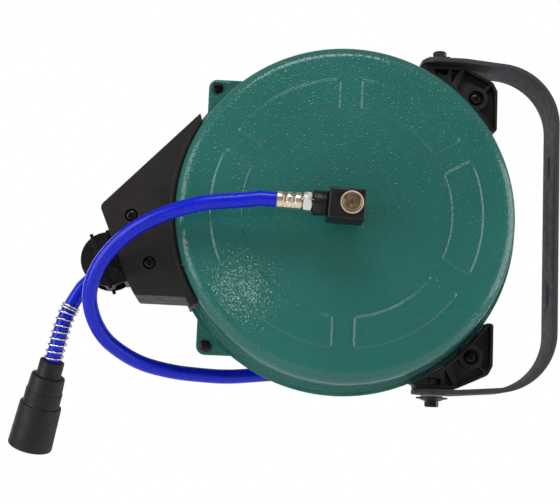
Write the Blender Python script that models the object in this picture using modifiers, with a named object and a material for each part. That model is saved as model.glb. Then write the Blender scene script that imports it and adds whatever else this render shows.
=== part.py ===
"""Wall-mounted retractable air hose reel.

Frame: +Z up along the swivel axis, the reel axis along Y with its front towards -Y,
the wall at +X. The origin is the middle of the flat outer face of the wall strap.
"""
import bpy
import bmesh
from math import acos, asin, atan2, cos, degrees, pi, radians, sin, sqrt, tan, tau
from mathutils import Vector

mm = 0.001
clear = 0.3 * mm              # gap between pieces that touch
weld = 0.005 * mm
overcut = 2 * mm              # how far a cutter runs past a face
round_steps = 40
small_steps = 16

# Hose
hose_radius = 6 * mm
turn_gap = 0.5 * mm
winding_turns = 4
winding_pitch = 2 * hose_radius + turn_gap
loop_points = 24              # points on one turn of a winding or coil
first_stretch = 46 * mm
first_drift = 1.5 * mm        # sideways play of the hose as it leaves the drum
straightened = 0.68           # share of the way to the rollers where the run is straight

# Drum width, which sets the depth of the case
drum_half_width = winding_pitch * (winding_turns + 1) / 2
drum_flange_thickness = 2.5 * mm
drum_to_cover = 12.75 * mm

# Steel case
case_radius = 135 * mm
sheet = 1.5 * mm
case_half_depth = drum_half_width + drum_flange_thickness + drum_to_cover + sheet
case_edge_round = 11 * mm
step_reach = 4.5 * mm         # step of the rim past the case
step_height = 5 * mm
flange_reach = 3.1 * mm       # flat flange past the step
step_radius = case_radius + step_reach
flange_radius = step_radius + flange_reach
window_inside = 15 * mm
window_outside = 25 * mm

# Four ears on the flange
ear_reach = 18.62 * mm        # corner of an ear past the flange
ear_corner_radius = 7 * mm
ear_screw_inset = 7 * mm
ear_side_inset = 1 * mm
ear_root_inset = 2.6 * mm
ear_root_turn = 1.2
ear_half_side = (flange_radius + ear_reach) / sqrt(2)
ear_screw_offset = ear_half_side - ear_screw_inset

# Raised pads on the front face
pad_edge = 26.6 * mm
pad_width = 26.4 * mm
pad_outer_radius = case_radius - pad_edge
pad_inner_radius = pad_outer_radius - pad_width
pad_spacing = 15.4 * mm
pad_height = 1.2 * mm
pad_slope = 1.6 * mm
pad_count = 6

# Wall strap and swivel
pivot_inset = 36.3 * mm       # swivel axis inside the ear
pivot_offset = ear_half_side - pivot_inset
pivot_to_wall = 97.3 * mm
ear_to_strap = 20 * mm
strap_width = 40 * mm
strap_thickness = 4 * mm
strap_inner_half_height = ear_half_side + ear_to_strap
strap_bend_radius = 50 * mm   # outer side
strap_arm_flat = 18 * mm      # level part of an arm past the swivel
strap_arm_slope = 5           # degrees that the arms close in towards the wall
strap_tip_reach = 16 * mm
strap_tip_corner = 14 * mm
slot_length = 20 * mm
slot_width = 9 * mm
slot_half_spacing = 53 * mm
bolt_radius = 3 * mm
bolt_end_reach = 2 * mm
bolt_head_flats = 10 * mm
bolt_head_height = 4.5 * mm
bolt_head_chamfer = 0.5 * mm
bush_wall = 1.5 * mm
bush_flange_radius = 9 * mm
bush_flange_thickness = 1.5 * mm
tooth_washer_radius = 12.8 * mm
tooth_washer_height = 3 * mm
tooth_depth = 1.4 * mm
tooth_count = 18
nut_flats = 10 * mm
nut_height = 4.4 * mm

# Corner brackets, their outline measured from the corner of the ear: along, up, rounding
bracket_half_depth = 12 * mm
bracket_wall = 2.4 * mm
bracket_top_wall = 3.4 * mm
bracket_floor = 3.6 * mm
bracket_to_flange = 1 * mm
bracket_left_reach = 17.7 * mm
bracket_left_round = 1.5 * mm
bracket_top_round = 12 * mm
bracket_top_end = -20 * mm
bracket_right = 10.6 * mm
bracket_end = -34.8 * mm
bracket_corners = ((6.8 * mm, 7.2 * mm, 7 * mm), (bracket_right, -0.5 * mm, 5 * mm),
                   (bracket_right, bracket_end, 2.5 * mm))
bracket_rib_top = -18.5 * mm
bracket_rib_lean = 7 * mm
pocket_corner = (5.2 * mm, 5.3 * mm, 5 * mm)
pocket_side = (-1.5 * mm, 4 * mm)
pocket_low = bracket_end + bracket_wall
boss_radius = 10 * mm
boss_set_back = 1.2 * mm
boss_recess_depth = 5.5 * mm
boss_rib_reach = 7.5 * mm
boss_rib_half = 1.1 * mm

# Screws through the ears
screw_radius = 2.4 * mm
screw_head_radius = 4.6 * mm
screw_head_height = 2.6 * mm
screw_slot_width = 1.1 * mm
screw_slot_depth = 1 * mm
screw_past_ear = 3 * mm
boss_recess_radius = screw_head_radius + 2 * mm

# Hose guide beside the case, its points measured as reach past the case and height
guide_half_depth = 34 * mm
guide_wall = 2.5 * mm
guide_to_case = 0.4 * mm
guide_spike_angle = 147.2
guide_spike_cut = 2.2         # degrees from the tip of the spike to the end of the lip
guide_foot_cut = 0.5
guide_foot_angle = 212.5
guide_spike_reach = 6.7 * mm
guide_foot_reach = 8.3 * mm
guide_face_top = -40 * mm     # ends of the outlet face, along it from the cage centre
guide_face_bottom = 25 * mm
guide_chamfer = (28.6 * mm, -71.5 * mm)
guide_bottom_end = (-11.3 * mm, -71.7 * mm)
guide_room_end = (-10.4 * mm, -69.1 * mm)
guide_rounds = (5 * mm, 2 * mm, 3 * mm, 2 * mm)
guide_room_reach = 5.6 * mm
guide_mouth_inset = 3 * mm
guide_collar_radius = 5.8 * mm
guide_post_radius = 3.3 * mm
guide_screw_radius = 1.9 * mm
guide_screws = ((34.2 * mm, -8.6 * mm), (18.1 * mm, -45.6 * mm))
guide_screw_depth = 3.2 * mm
guide_bore_end = 22 * mm
bead_inset = 1.3 * mm
bead_width = 2.6 * mm
bead_height = 1.3 * mm
guide_lip_radius = case_radius + guide_to_case
window_half_depth = guide_half_depth - guide_wall - 1.5 * mm

# Roller cage
cage_reach = 51.9 * mm          # cage centre past the case
cage_z = -42.3 * mm
cage_tilt = 203               # direction that the outlet faces, degrees
cage_radius = 21.8 * mm
cheek_thickness = 3 * mm
cheek_gap = 0.5 * mm
roller_radius = 5.4 * mm
roller_half_length = 15 * mm
pin_radius = 2.4 * mm
pin_play = 0.4 * mm
pin_end = 0.8 * mm
roller_stagger = 11.4 * mm
outer_roller = (7.1 * mm, -15.3 * mm)
roller_bore_radius = pin_radius + pin_play
cage_base_thickness = 3 * mm
cage_to_guide = 8.8 * mm      # cage centre to the guide's outlet face
cage_half_width = 22 * mm
cage_flange = 1 * mm
cage_rib_back = 4.6 * mm
cage_rib_front = 7.4 * mm
cage_rib_reach = 1.5 * mm
cage_rib_height = 1.5 * mm
window_margin = 0.9 * mm
cage_x = -(case_radius + cage_reach)

# Drum
drum_rim_gap = 9.5 * mm
drum_flange_radius = case_radius - sheet - drum_rim_gap
rim_above_hose = 12 * mm
winding_radius = drum_flange_radius - rim_above_hose - hose_radius
core_gap = 1.3 * mm
core_radius = winding_radius - hose_radius - core_gap
wound_depth = 36 * mm         # inner layers of hose, down to the barrel
barrel_radius = winding_radius - wound_depth
barrel_wall = 3 * mm
drum_steps = 32
drum_web_front = -12 * mm
drum_web_thickness = 3 * mm
drum_web_back = drum_web_front + drum_web_thickness
drum_hub_radius = 7 * mm
drum_screws = 3
drum_screw_circle = 12.5 * mm
drum_screw_phase = 30
drum_slots = 4
drum_slot_phase = 12
drum_slot_sweep = 52
drum_slot_rim = 13 * mm
drum_slot_width = 20 * mm
drum_slot_outer = barrel_radius - barrel_wall - drum_slot_rim
drum_slot_inner = drum_slot_outer - drum_slot_width
ratchet_tip_radius = 56 * mm
ratchet_tooth_depth = 6 * mm
ratchet_root_radius = ratchet_tip_radius - ratchet_tooth_depth
ratchet_ring_width = 5 * mm
ratchet_height = 4 * mm
ratchet_teeth = 12
ratchet_phase = 8
tooth_crest = 0.22
tooth_heel = 0.75
tooth_foot = 0.97

# Pawl on the rear cover
pawl_pivot_reach = 16.14 * mm
pawl_pivot_angle = 136.12
pawl_nose_angle = 118
pawl_nose_gap = 0.5 * mm
pawl_nose_width = 6.5 * mm
pawl_hub_radius = 6 * mm
pawl_hub_height = 2 * mm
pawl_pin_radius = 2.5 * mm
pawl_foot_radius = 7 * mm
pawl_foot_height = 3 * mm

# Shafts
arbor_shoulder = case_half_depth - sheet - clear
arbor_radius = 10 * mm
arbor_to_web = 3 * mm
arbor_front = drum_web_back + arbor_to_web
arbor_stud_radius = 6.5 * mm
arbor_stud_reach = 24 * mm
arbor_stud_chamfer = 0.8 * mm
arbor_stud_end = case_half_depth + arbor_stud_reach
arbor_nut_flats = 19 * mm
arbor_nut_height = 8 * mm
arbor_washer_radius = 15 * mm
arbor_washer_thickness = 2 * mm
arbor_slot_width = 2.4 * mm
arbor_slot_depth = 6 * mm
spindle_radius = 7.2 * mm
spindle_chamfer = 1 * mm
spindle_proud = 1.5 * mm
spindle_flange_radius = 17 * mm
spindle_flange_thickness = 3 * mm
spindle_bore_radius = 3 * mm
spindle_port_radius = 2.4 * mm
flange_hole_radius = 1.92 * mm
dimple_radius = 1.6 * mm
dimple_depth = 1.2 * mm
spindle_end_wall = 4 * mm
front_bush_wall = 3 * mm
front_bush_flange = 5 * mm
front_bush_thickness = 2 * mm
front_bush_reach = 3 * mm

# Power spring
spring_band = 1.2 * mm
spring_turns = 5
spring_points_per_turn = 16
spring_to_web = 2.5 * mm
spring_to_flange = 1.75 * mm
spring_to_arbor = 3 * mm
spring_to_barrel = 4 * mm
spring_hook = 1 * mm
spring_low = drum_web_back + spring_to_web
spring_high = drum_half_width - spring_to_flange
spring_inner_radius = arbor_radius + spring_to_arbor
spring_outer_radius = barrel_radius - barrel_wall - spring_to_barrel

# Inlet fitting
inlet_tilt = 2                # degrees that the lead-in side is raised
block_to_case = 13 * mm
block_depth = 27 * mm
block_front = -(case_half_depth + block_to_case + block_depth)
block_left = -17.6 * mm
block_right = 10.9 * mm
block_top = 11 * mm
block_bottom = -13 * mm
block_corner = 1.6 * mm
ring_radius = 8.9 * mm
ring_thickness = 1.6 * mm
sleeve_radius = 9.8 * mm
sleeve_length = 11 * mm
hex_flats = 14 * mm
hex_length = 7.9 * mm
hex_bore = 4.6 * mm
hex_chamfer = 0.7 * mm
nipple_radius = 4.3 * mm
nipple_tail = 17 * mm
nipple_tail_radius = 3.9 * mm
ferrule_radius = 6.9 * mm
ferrule_length = 19.1 * mm
ferrule_bands = 3
ferrule_groove = 0.7 * mm
groove_top = 1.5 * mm
groove_floor = 0.6 * mm
ferrule_end = block_left - 3 * clear - sleeve_length - hex_length - ferrule_length

# Bend guard, boot and coupler on the hose end, placed from the cage centre: left, back, up
lead_out_end = 17.7 * mm
roller_approach = 14 * mm
outlet_knots = ((-27.3 * mm, 0, -33.3 * mm), (-34.1 * mm, 1.2 * mm, -48.7 * mm))
boot_top = (-42.3 * mm, 9.4 * mm, -81.1 * mm)
boot_heading = 256.1
boot_lean = 18                # degrees that its mouth leans to the back
boot_length = 75 * mm
boot_top_radius = 10 * mm
boot_neck = 12.5 * mm
boot_rings = ((13.6 * mm, 13.1 * mm), (15.1 * mm, 37.4 * mm), (17 * mm, 38.2 * mm))
boot_rim_radius = 18.4 * mm
boot_rim_round = 1.6 * mm
boot_bore_radius = 15 * mm
boot_bore_start = 26 * mm
boot_hole_radius = hose_radius + 0.4 * mm
boot_recess = 5 * mm
hose_in_boot = 25.5 * mm
coupler_length = 44 * mm
coupler_radius = 12 * mm
coupler_chamfer = 3 * mm
coupler_bead = 1.4 * mm
coupler_bead_end = 9 * mm
coupler_mouth_radius = 8 * mm
coupler_mouth_depth = 20 * mm
guard_wire_radius = 0.7 * mm
guard_play = 0.5 * mm
guard_radius = hose_radius + guard_wire_radius + guard_play
guard_turns = 8
guard_length = 47 * mm
guard_end_turns = 2
guard_end_pitch = 2.1 * mm
guard_points_per_turn = 8
route_step = 1 * mm

# Lead-in hose, its route and its coil hung on the arbor stud
supply_knots = ((-84.3 * mm, -73 * mm, -0.4 * mm), (-114.6 * mm, -69 * mm, -6.6 * mm),
                (-144.8 * mm, -61 * mm, -19.1 * mm), (-167.6 * mm, -52 * mm, -33.6 * mm),
                (-185.9 * mm, -43 * mm, -50.5 * mm), (-196.6 * mm, -33 * mm, -69.4 * mm),
                (-199.6 * mm, -22 * mm, -88.1 * mm), (-192 * mm, -9 * mm, -104.9 * mm),
                (-178.7 * mm, 3 * mm, -117.1 * mm), (-158.9 * mm, 15 * mm, -126 * mm),
                (-134.8 * mm, 26 * mm, -130.1 * mm), (-110.2 * mm, 36 * mm, -131 * mm),
                (-85.4 * mm, 45 * mm, -129.5 * mm), (-52 * mm, 54.5 * mm, -124.4 * mm))
coil_centre_z = -54.7 * mm
coil_to_case = 4.5 * mm
coil_start_y = case_half_depth + hose_radius + coil_to_case
coil_radius = 67.5 * mm
coil_gap = 2 * mm
coil_pitch = 2 * hose_radius + coil_gap
coil_turns = 1.35
plug_rings = ((0, 34 * mm), (3.4 * mm, 34 * mm), (4.9 * mm, 32 * mm), (4.9 * mm, 23 * mm),
              (3.7 * mm, 21.5 * mm), (3.7 * mm, 18 * mm), (5.2 * mm, 16.5 * mm),
              (5.2 * mm, 14 * mm), (7 * mm, 13.5 * mm), (7 * mm, 0), (0, 0))
tie_thickness = 1.6 * mm
tie_half_width = 3 * mm
tie_angle = -30

reel_x = -(pivot_to_wall + pivot_offset)

for old in list(bpy.data.objects):
    bpy.data.objects.remove(old, do_unlink=True)

parts = bpy.data.collections.new("air_hose_reel")
cutters = bpy.data.collections.new("cutters")
bpy.context.scene.collection.children.link(parts)
bpy.context.scene.collection.children.link(cutters)


def finish(name, colour, roughness, metallic=0.0):
    material = bpy.data.materials.new(name)
    material.use_nodes = True
    shader = material.node_tree.nodes["Principled BSDF"]
    shader.inputs["Base Color"].default_value = (*colour, 1)
    shader.inputs["Roughness"].default_value = roughness
    shader.inputs["Metallic"].default_value = metallic
    material.diffuse_color = (*colour, 1)
    return material


green_enamel = finish("green_enamel", (0.028, 0.135, 0.108), 0.3)
black_plastic = finish("black_plastic", (0.02, 0.02, 0.021), 0.5)
strap_coat = finish("strap_coat", (0.05, 0.045, 0.05), 0.55)
zinc_steel = finish("zinc_steel", (0.55, 0.55, 0.55), 0.3, 1.0)
dark_steel = finish("dark_steel", (0.08, 0.075, 0.07), 0.4, 1.0)
brass = finish("brass", (0.5, 0.36, 0.17), 0.3, 1.0)
blue_hose = finish("blue_hose", (0.015, 0.03, 0.58), 0.3)
black_rubber = finish("black_rubber", (0.025, 0.023, 0.022), 0.6)
drum_plastic = finish("drum_plastic", (0.06, 0.06, 0.065), 0.5)
spring_steel = finish("spring_steel", (0.2, 0.2, 0.22), 0.3, 1.0)
nylon = finish("nylon", (0.75, 0.74, 0.68), 0.45)


def frame_at(name, location, parent=None, turn=(0, 0, 0)):
    empty = bpy.data.objects.new(name, None)
    empty.location = location
    empty.rotation_euler = turn
    empty.parent = parent
    bpy.context.scene.collection.objects.link(empty)
    return empty


reel = frame_at("reel_axis", (reel_x, 0, 0))
inlet = frame_at("inlet_axis", (0, 0, 0), reel, (0, radians(inlet_tilt), 0))

facing = {"X": (pi / 2, 0, pi / 2), "Y": (pi / 2, 0, 0), "Z": (0, 0, 0)}
turning = {"X": (0, pi / 2, 0), "Y": (-pi / 2, 0, 0), "Z": (0, 0, 0)}


def add(name, mesh, material, parent, location=(0, 0, 0), turn=(0, 0, 0)):
    """Put a mesh in the model; with no material it is a cutter."""
    item = bpy.data.objects.new(name, mesh)
    item.location = location
    item.rotation_euler = turn
    item.parent = parent
    if material:
        parts.objects.link(item)
        mesh.materials.append(material)
    else:
        cutters.objects.link(item)
        item.hide_render = True
        item.display_type = "WIRE"
    return item


def turned(name, profile, material=None, parent=reel, axis="Y", centre=(0, 0, 0),
           steps=round_steps, closed=False):
    """A profile of (radius, height) points turned about an axis, outer side falling."""
    mesh = bpy.data.meshes.new(name)
    edges = [(i, i + 1) for i in range(len(profile) - 1)]
    if closed:
        edges.append((len(profile) - 1, 0))
    mesh.from_pydata([(r, 0, h) for r, h in profile], edges, [])
    item = add(name, mesh, material, parent, centre, turning[axis])
    screw = item.modifiers.new("turn", "SCREW")
    screw.steps = screw.render_steps = steps
    screw.use_merge_vertices = True
    screw.merge_threshold = weld
    screw.use_smooth_shade = True
    return item


def rod(name, radius, low, high, material=None, parent=reel, axis="Y", centre=(0, 0, 0),
        steps=small_steps, bore=0):
    """A plain cylinder, or a tube where it has a bore."""
    if bore:
        profile = [(radius, high), (radius, low), (bore, low), (bore, high)]
        return turned(name, profile, material, parent, axis, centre, steps, closed=True)
    profile = [(0, high), (radius, high), (radius, low), (0, low)]
    return turned(name, profile, material, parent, axis, centre, steps)


def curve_to_mesh(curve_data, name):
    holder = bpy.data.objects.new(name, curve_data)
    bpy.context.scene.collection.objects.link(holder)
    bpy.context.view_layer.update()
    graph = bpy.context.evaluated_depsgraph_get()
    mesh = bpy.data.meshes.new_from_object(holder.evaluated_get(graph))
    mesh.name = name
    bpy.data.objects.remove(holder)
    body = bmesh.new()
    body.from_mesh(mesh)
    bmesh.ops.remove_doubles(body, verts=body.verts, dist=weld)
    body.to_mesh(mesh)
    body.free()
    return mesh


def plate(name, loops, low, high, material=None, parent=reel, axis="Y", centre=(0, 0, 0)):
    """Flat outlines, the first outside and the rest holes, from low to high on an axis."""
    curve = bpy.data.curves.new(name, "CURVE")
    curve.dimensions = "2D"
    curve.fill_mode = "BOTH"
    curve.extrude = (high - low) / 2
    for loop in loops:
        spline = curve.splines.new("POLY")
        spline.points.add(len(loop) - 1)
        for point, (u, v) in zip(spline.points, loop):
            point.co = (u, v, 0, 1)
        spline.use_cyclic_u = True
    mesh = curve_to_mesh(curve, name)
    middle = Vector(centre)
    middle["XYZ".index(axis)] += (high + low) / 2
    return add(name, mesh, material, parent, middle, facing[axis])


def box(name, low, high, material=None, parent=reel, edge=0):
    size = [b - a for a, b in zip(low, high)]
    body = bmesh.new()
    bmesh.ops.create_cube(body, size=1)
    bmesh.ops.scale(body, vec=size, verts=body.verts)
    mesh = bpy.data.meshes.new(name)
    body.to_mesh(mesh)
    body.free()
    item = add(name, mesh, material, parent, [(a + b) / 2 for a, b in zip(low, high)])
    if edge:
        soften(item, edge)
    return item


def soften(item, width, segments=2):
    bevel = item.modifiers.new("edges", "BEVEL")
    bevel.width = width
    bevel.segments = segments
    bevel.limit_method = "ANGLE"
    bevel.angle_limit = radians(40)


def tube(name, points, radius, material, parent=reel, sides=2):
    """A round tube along points, with filled ends."""
    curve = bpy.data.curves.new(name, "CURVE")
    curve.dimensions = "3D"
    curve.bevel_depth = radius
    curve.bevel_resolution = sides
    curve.use_fill_caps = True
    spline = curve.splines.new("POLY")
    spline.points.add(len(points) - 1)
    for point, place in zip(spline.points, points):
        point.co = (*place, 1)
    return add(name, curve_to_mesh(curve, name), material, parent)


def boolean(item, other, operation):
    step = item.modifiers.new(operation.lower() + " " + other.name, "BOOLEAN")
    step.operation = operation
    step.object = other
    step.solver = "EXACT"


def cut(item, *tools):
    for tool in tools:
        boolean(item, tool, "DIFFERENCE")


def fuse(item, *others):
    for other in others:
        boolean(item, other, "UNION")


def polar(radius, angle):
    return radius * cos(radians(angle)), radius * sin(radians(angle))


def beside_case(reach, height):
    """A point left of the case, from its reach past the case and its height."""
    return -(case_radius + reach), height


def arc(radius, start, end, count, u=0, v=0):
    """Points on an arc, angles in degrees."""
    spread = [start + (end - start) * i / count for i in range(count + 1)]
    return [(u + radius * cos(radians(a)), v + radius * sin(radians(a))) for a in spread]


def circle(radius, u=0, v=0, count=24):
    return arc(radius, 0, 360, count, u, v)[:-1]


def polygon(flats, u=0, v=0, count=6, start=0):
    """A regular outline measured across its flats."""
    radius = flats / 2 / cos(pi / count)
    return [(u + radius * cos(tau * i / count + start), v + radius * sin(tau * i / count + start))
            for i in range(count)]


def rounded(corners, steps=4):
    """An outline from corners (u, v, radius), each turned into an arc."""
    outline = []
    for i, (u, v, radius) in enumerate(corners):
        here = Vector((u, v))
        if radius == 0:
            outline.append((u, v))
            continue
        back = (Vector(corners[i - 1][:2]) - here).normalized()
        onward = (Vector(corners[(i + 1) % len(corners)][:2]) - here).normalized()
        half = back.angle(onward) / 2
        middle = here + (back + onward).normalized() * (radius / sin(half))
        first = here + back * (radius / tan(half))
        last = here + onward * (radius / tan(half))
        start = atan2(first.y - middle.y, first.x - middle.x)
        end = atan2(last.y - middle.y, last.x - middle.x)
        sweep = (end - start + pi) % tau - pi
        for k in range(steps + 1):
            a = start + sweep * k / steps
            outline.append((middle.x + radius * cos(a), middle.y + radius * sin(a)))
    return outline


def smooth_route(knots, spacing):
    """Evenly spaced points on a smooth curve through hand-chosen points."""
    knots = [Vector(k) for k in knots]
    fine = []
    for i in range(len(knots) - 1):
        before = knots[i - 1] if i else 2 * knots[0] - knots[1]
        after = knots[i + 2] if i + 2 < len(knots) else 2 * knots[-1] - knots[-2]
        a, b = knots[i], knots[i + 1]
        for k in range(20):
            t = k / 20
            fine.append(0.5 * ((2 * a) + (b - before) * t + (2 * before - 5 * a + 4 * b - after) * t ** 2
                               + (3 * a - before - 3 * b + after) * t ** 3))
    fine.append(knots[-1])
    return even_points(fine, spacing)


def even_points(line, spacing):
    lengths = [0.0]
    for a, b in zip(line, line[1:]):
        lengths.append(lengths[-1] + (b - a).length)
    count = max(2, round(lengths[-1] / spacing))
    points, k = [], 0
    for i in range(count + 1):
        want = lengths[-1] * i / count
        while k < len(line) - 2 and lengths[k + 1] < want:
            k += 1
        share = (want - lengths[k]) / (lengths[k + 1] - lengths[k])
        points.append(line[k].lerp(line[k + 1], share))
    return points


def route_length(points):
    return sum((b - a).length for a, b in zip(points, points[1:]))


def least_gap(points, radius, skip):
    """Smallest clear distance of a tube to itself, between points more than skip apart."""
    gap = 1.0
    for i, a in enumerate(points):
        for b in points[i + skip:]:
            gap = min(gap, (a - b).length - 2 * radius)
    return gap


def make_strap():
    """A flat steel bar bent to a U, with round tips, swivel holes and two wall slots."""
    outer = strap_inner_half_height + strap_thickness
    bend = strap_bend_radius
    tip = -pivot_to_wall - strap_tip_reach
    level = strap_arm_flat - pivot_to_wall
    bent = 90 - strap_arm_slope
    bend_u, bend_v = polar(bend, bent)
    drop = (bend_u - bend - level) * tan(radians(strap_arm_slope))
    centre_v = outer - drop - bend_v
    inner = strap_inner_half_height
    inner_bend = bend - strap_thickness
    upper = [(tip, outer), (level, outer)] + arc(bend, bent, 0, 8, -bend, centre_v)
    lower = arc(bend, 0, -bent, 8, -bend, -centre_v) + [(level, -outer), (tip, -outer)]
    inside = [(tip, -inner), (level, -inner)] + arc(inner_bend, -bent, 0, 8, -bend, -centre_v)
    inside += arc(inner_bend, 0, bent, 8, -bend, centre_v) + [(level, inner), (tip, inner)]
    half = strap_width / 2
    strap = plate("wall_strap", [upper + lower + inside], -half, half, strap_coat, None)
    reach = outer + overcut
    corner = strap_tip_corner
    start = tip + corner
    shape = [(tip - corner, -strap_width), (start, -strap_width)]
    shape += arc(corner, 270, 180, 6, start, corner - half)
    shape += arc(corner, 180, 90, 6, start, half - corner)
    shape += [(start, strap_width), (tip - corner, strap_width)]
    trim = plate("tip_trim", [shape], -reach, reach, None, None, "Z")
    hole = rod("swivel_holes", bolt_radius + bush_wall + clear * 2, -reach, reach, None, None, "Z",
               (-pivot_to_wall, 0, 0))
    cut(strap, trim, hole)
    for side in (1, -1):
        middle = side * slot_half_spacing
        straight = (slot_length - slot_width) / 2
        slot = (arc(slot_width / 2, 0, 180, 6, 0, middle + straight)
                + arc(slot_width / 2, 180, 360, 6, 0, middle - straight))
        cut(strap, plate(f"wall_slot_{side}", [slot], -3 * strap_thickness, strap_thickness,
                         None, None, "X"))


def make_swivel(side, label):
    """Bolt, toothed washer, nylon bush and captive nut of one swivel."""
    bolt_hole = bolt_radius + clear
    face = side * (strap_inner_half_height + strap_thickness)

    def ring(name, radius, bore, near, far, material):
        low, high = sorted((face + side * near, face + side * far))
        return rod(name, radius, low, high, material, None, "Z", (-pivot_to_wall, 0, 0), bore=bore)

    flange_top = clear + bush_flange_thickness
    neck = bolt_radius + bush_wall + clear
    section = [(bush_flange_radius, flange_top), (bush_flange_radius, clear), (neck, clear),
               (neck, -strap_thickness), (bolt_hole, -strap_thickness), (bolt_hole, flange_top)]
    section = [(r, face + side * h) for r, h in section][::side]
    turned(f"swivel_bush_{label}", section, nylon, None, "Z", (-pivot_to_wall, 0, 0), small_steps, True)

    washer_low = flange_top + clear
    washer_high = washer_low + tooth_washer_height
    teeth = []
    for i in range(tooth_count * 2):
        radius = tooth_washer_radius - (i % 2) * tooth_depth
        teeth.append(polar(radius, 180 * i / tooth_count))
    low, high = sorted((face + side * washer_low, face + side * washer_high))
    plate(f"tooth_washer_{label}", [teeth, circle(bolt_hole, count=16)], low, high, dark_steel,
          None, "Z", (-pivot_to_wall, 0, 0))

    head_low = washer_high + clear
    head_high = head_low + bolt_head_height
    low, high = sorted((face + side * head_low, face + side * head_high))
    bolt = plate(f"swivel_bolt_{label}", [polygon(bolt_head_flats)], low, high, dark_steel, None, "Z",
                 (-pivot_to_wall, 0, 0))
    soften(bolt, bolt_head_chamfer, 1)
    bolt_end = -(strap_thickness + nut_height + bracket_top_wall + bolt_end_reach)
    shank = ring(f"bolt_shank_{label}", bolt_radius, 0, bolt_end, head_high - bolt_head_height / 4, None)
    fuse(bolt, shank)

    nut_face = strap_inner_half_height - bracket_top_wall - 2 * clear
    low, high = sorted((side * (nut_face - nut_height), side * nut_face))
    hexagon = polygon(nut_flats, start=pi / 6)
    plate(f"swivel_nut_{label}", [hexagon, circle(bolt_hole, count=16)], low, high,
          zinc_steel, None, "Z", (-pivot_to_wall, 0, 0))


def make_corner_bracket(side, label):
    """Moulded corner block: open ribbed front, screw boss, swivel nut pocket, slot for the ear."""
    ear = ear_half_side
    top = strap_inner_half_height - clear
    inner = flange_radius + bracket_to_flange
    half = bracket_half_depth
    wall = bracket_wall
    left = pivot_offset - bracket_left_reach
    right = ear + bracket_right

    def place(points):
        flipped = [(u, side * v) for u, v in points]
        return flipped if side > 0 else flipped[::-1]

    corners = [(left, top, bracket_left_round), (ear + bracket_top_end, top, bracket_top_round)]
    corners += [(ear + u, ear + v, radius) for u, v, radius in bracket_corners]
    right_angle = degrees(asin((ear + bracket_end) / inner))
    left_angle = degrees(acos(left / inner))
    corners.append((*polar(inner, right_angle), 0))
    body = place(rounded(corners, 3) + arc(inner, right_angle, left_angle, 10)[1:])
    bracket = plate(f"corner_bracket_{label}", [body], -half, half, black_plastic)

    pocket_front = -half - overcut
    pocket_floor = -(bracket_floor + 3 * clear + sheet)
    pocket_arc = inner + wall
    nut_room = nut_flats / 2 + 2 * clear
    nut_side = pivot_offset + nut_room + wall
    rib_top = ear + bracket_rib_top
    rib_low = rib_top - bracket_rib_lean
    roof = top - bracket_top_wall
    first = [(nut_side, roof), (rib_top - wall, roof),
             on_arc(pocket_arc, rib_low - wall), on_arc(pocket_arc, nut_side)]
    low_point = on_arc(pocket_arc, rib_low + wall)
    wide_low = degrees(atan2(low_point[1], low_point[0]))
    side_high, side_round = pocket_side
    wide = rounded([(rib_top + wall * 0.4, roof, 0),
                    (ear + pocket_corner[0], ear + pocket_corner[1], pocket_corner[2]),
                    (right - wall, ear + side_high, side_round), (right - wall, ear + pocket_low, 0)], 3)
    wide += arc(pocket_arc, degrees(asin((ear + pocket_low) / pocket_arc)), wide_low, 7)
    for number, loop in enumerate((first, wide)):
        cut(bracket, plate(f"pocket_{label}_{number}", [place(loop)], pocket_front, pocket_floor))

    hub = (ear_screw_offset, side * ear_screw_offset)
    boss_front = -half + boss_set_back
    fuse(bracket, rod(f"boss_{label}", boss_radius, boss_front, 0, None,
                      centre=(hub[0], 0, hub[1]), steps=20))
    toward = (1 / sqrt(2), side / sqrt(2))
    across = (-toward[1], toward[0])
    near = boss_radius / 2
    far = boss_radius + boss_rib_reach
    thick = boss_rib_half
    web = [(hub[0] + toward[0] * d + across[0] * w, hub[1] + toward[1] * d + across[1] * w)
           for d, w in ((near, -thick), (far, -thick), (far, thick), (near, thick))]
    fuse(bracket, plate(f"boss_rib_{label}", [web], boss_front + boss_set_back / 2, 0))

    slot_half = sheet + 2 * clear
    corner = ear + 2 * clear
    inside = left / 2
    slot = place([(inside, inside), (corner, inside), (corner, corner), (inside, corner)])
    pivot_low, pivot_high = sorted((side * inside, side * (top + overcut)))
    cut(bracket,
        plate(f"ear_slot_{label}", [slot], -slot_half, slot_half),
        rod(f"screw_recess_{label}", boss_recess_radius, pocket_front, -half + boss_recess_depth, None,
            centre=(hub[0], 0, hub[1])),
        rod(f"screw_hole_{label}", screw_radius + clear, pocket_front, half + overcut, None,
            centre=(hub[0], 0, hub[1]), steps=16),
        rod(f"swivel_bore_{label}", bolt_radius + 2 * clear, pivot_low, pivot_high, None,
            reel, "Z", (pivot_offset, 0, 0), 16))
    nut_back = nut_flats / 2 / cos(pi / 6) + clear
    nut_left = pivot_offset - nut_room
    nut_right = pivot_offset + nut_room
    nut_low = roof - nut_height - 2 * clear
    nut_slot = [(nut_left, roof), (nut_right, roof), (nut_right, nut_low), (nut_left, nut_low)]
    cut(bracket, plate(f"nut_slot_{label}", [place(nut_slot)], pocket_front, nut_back))


def on_arc(radius, u):
    return u, sqrt(radius * radius - u * u)


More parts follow.
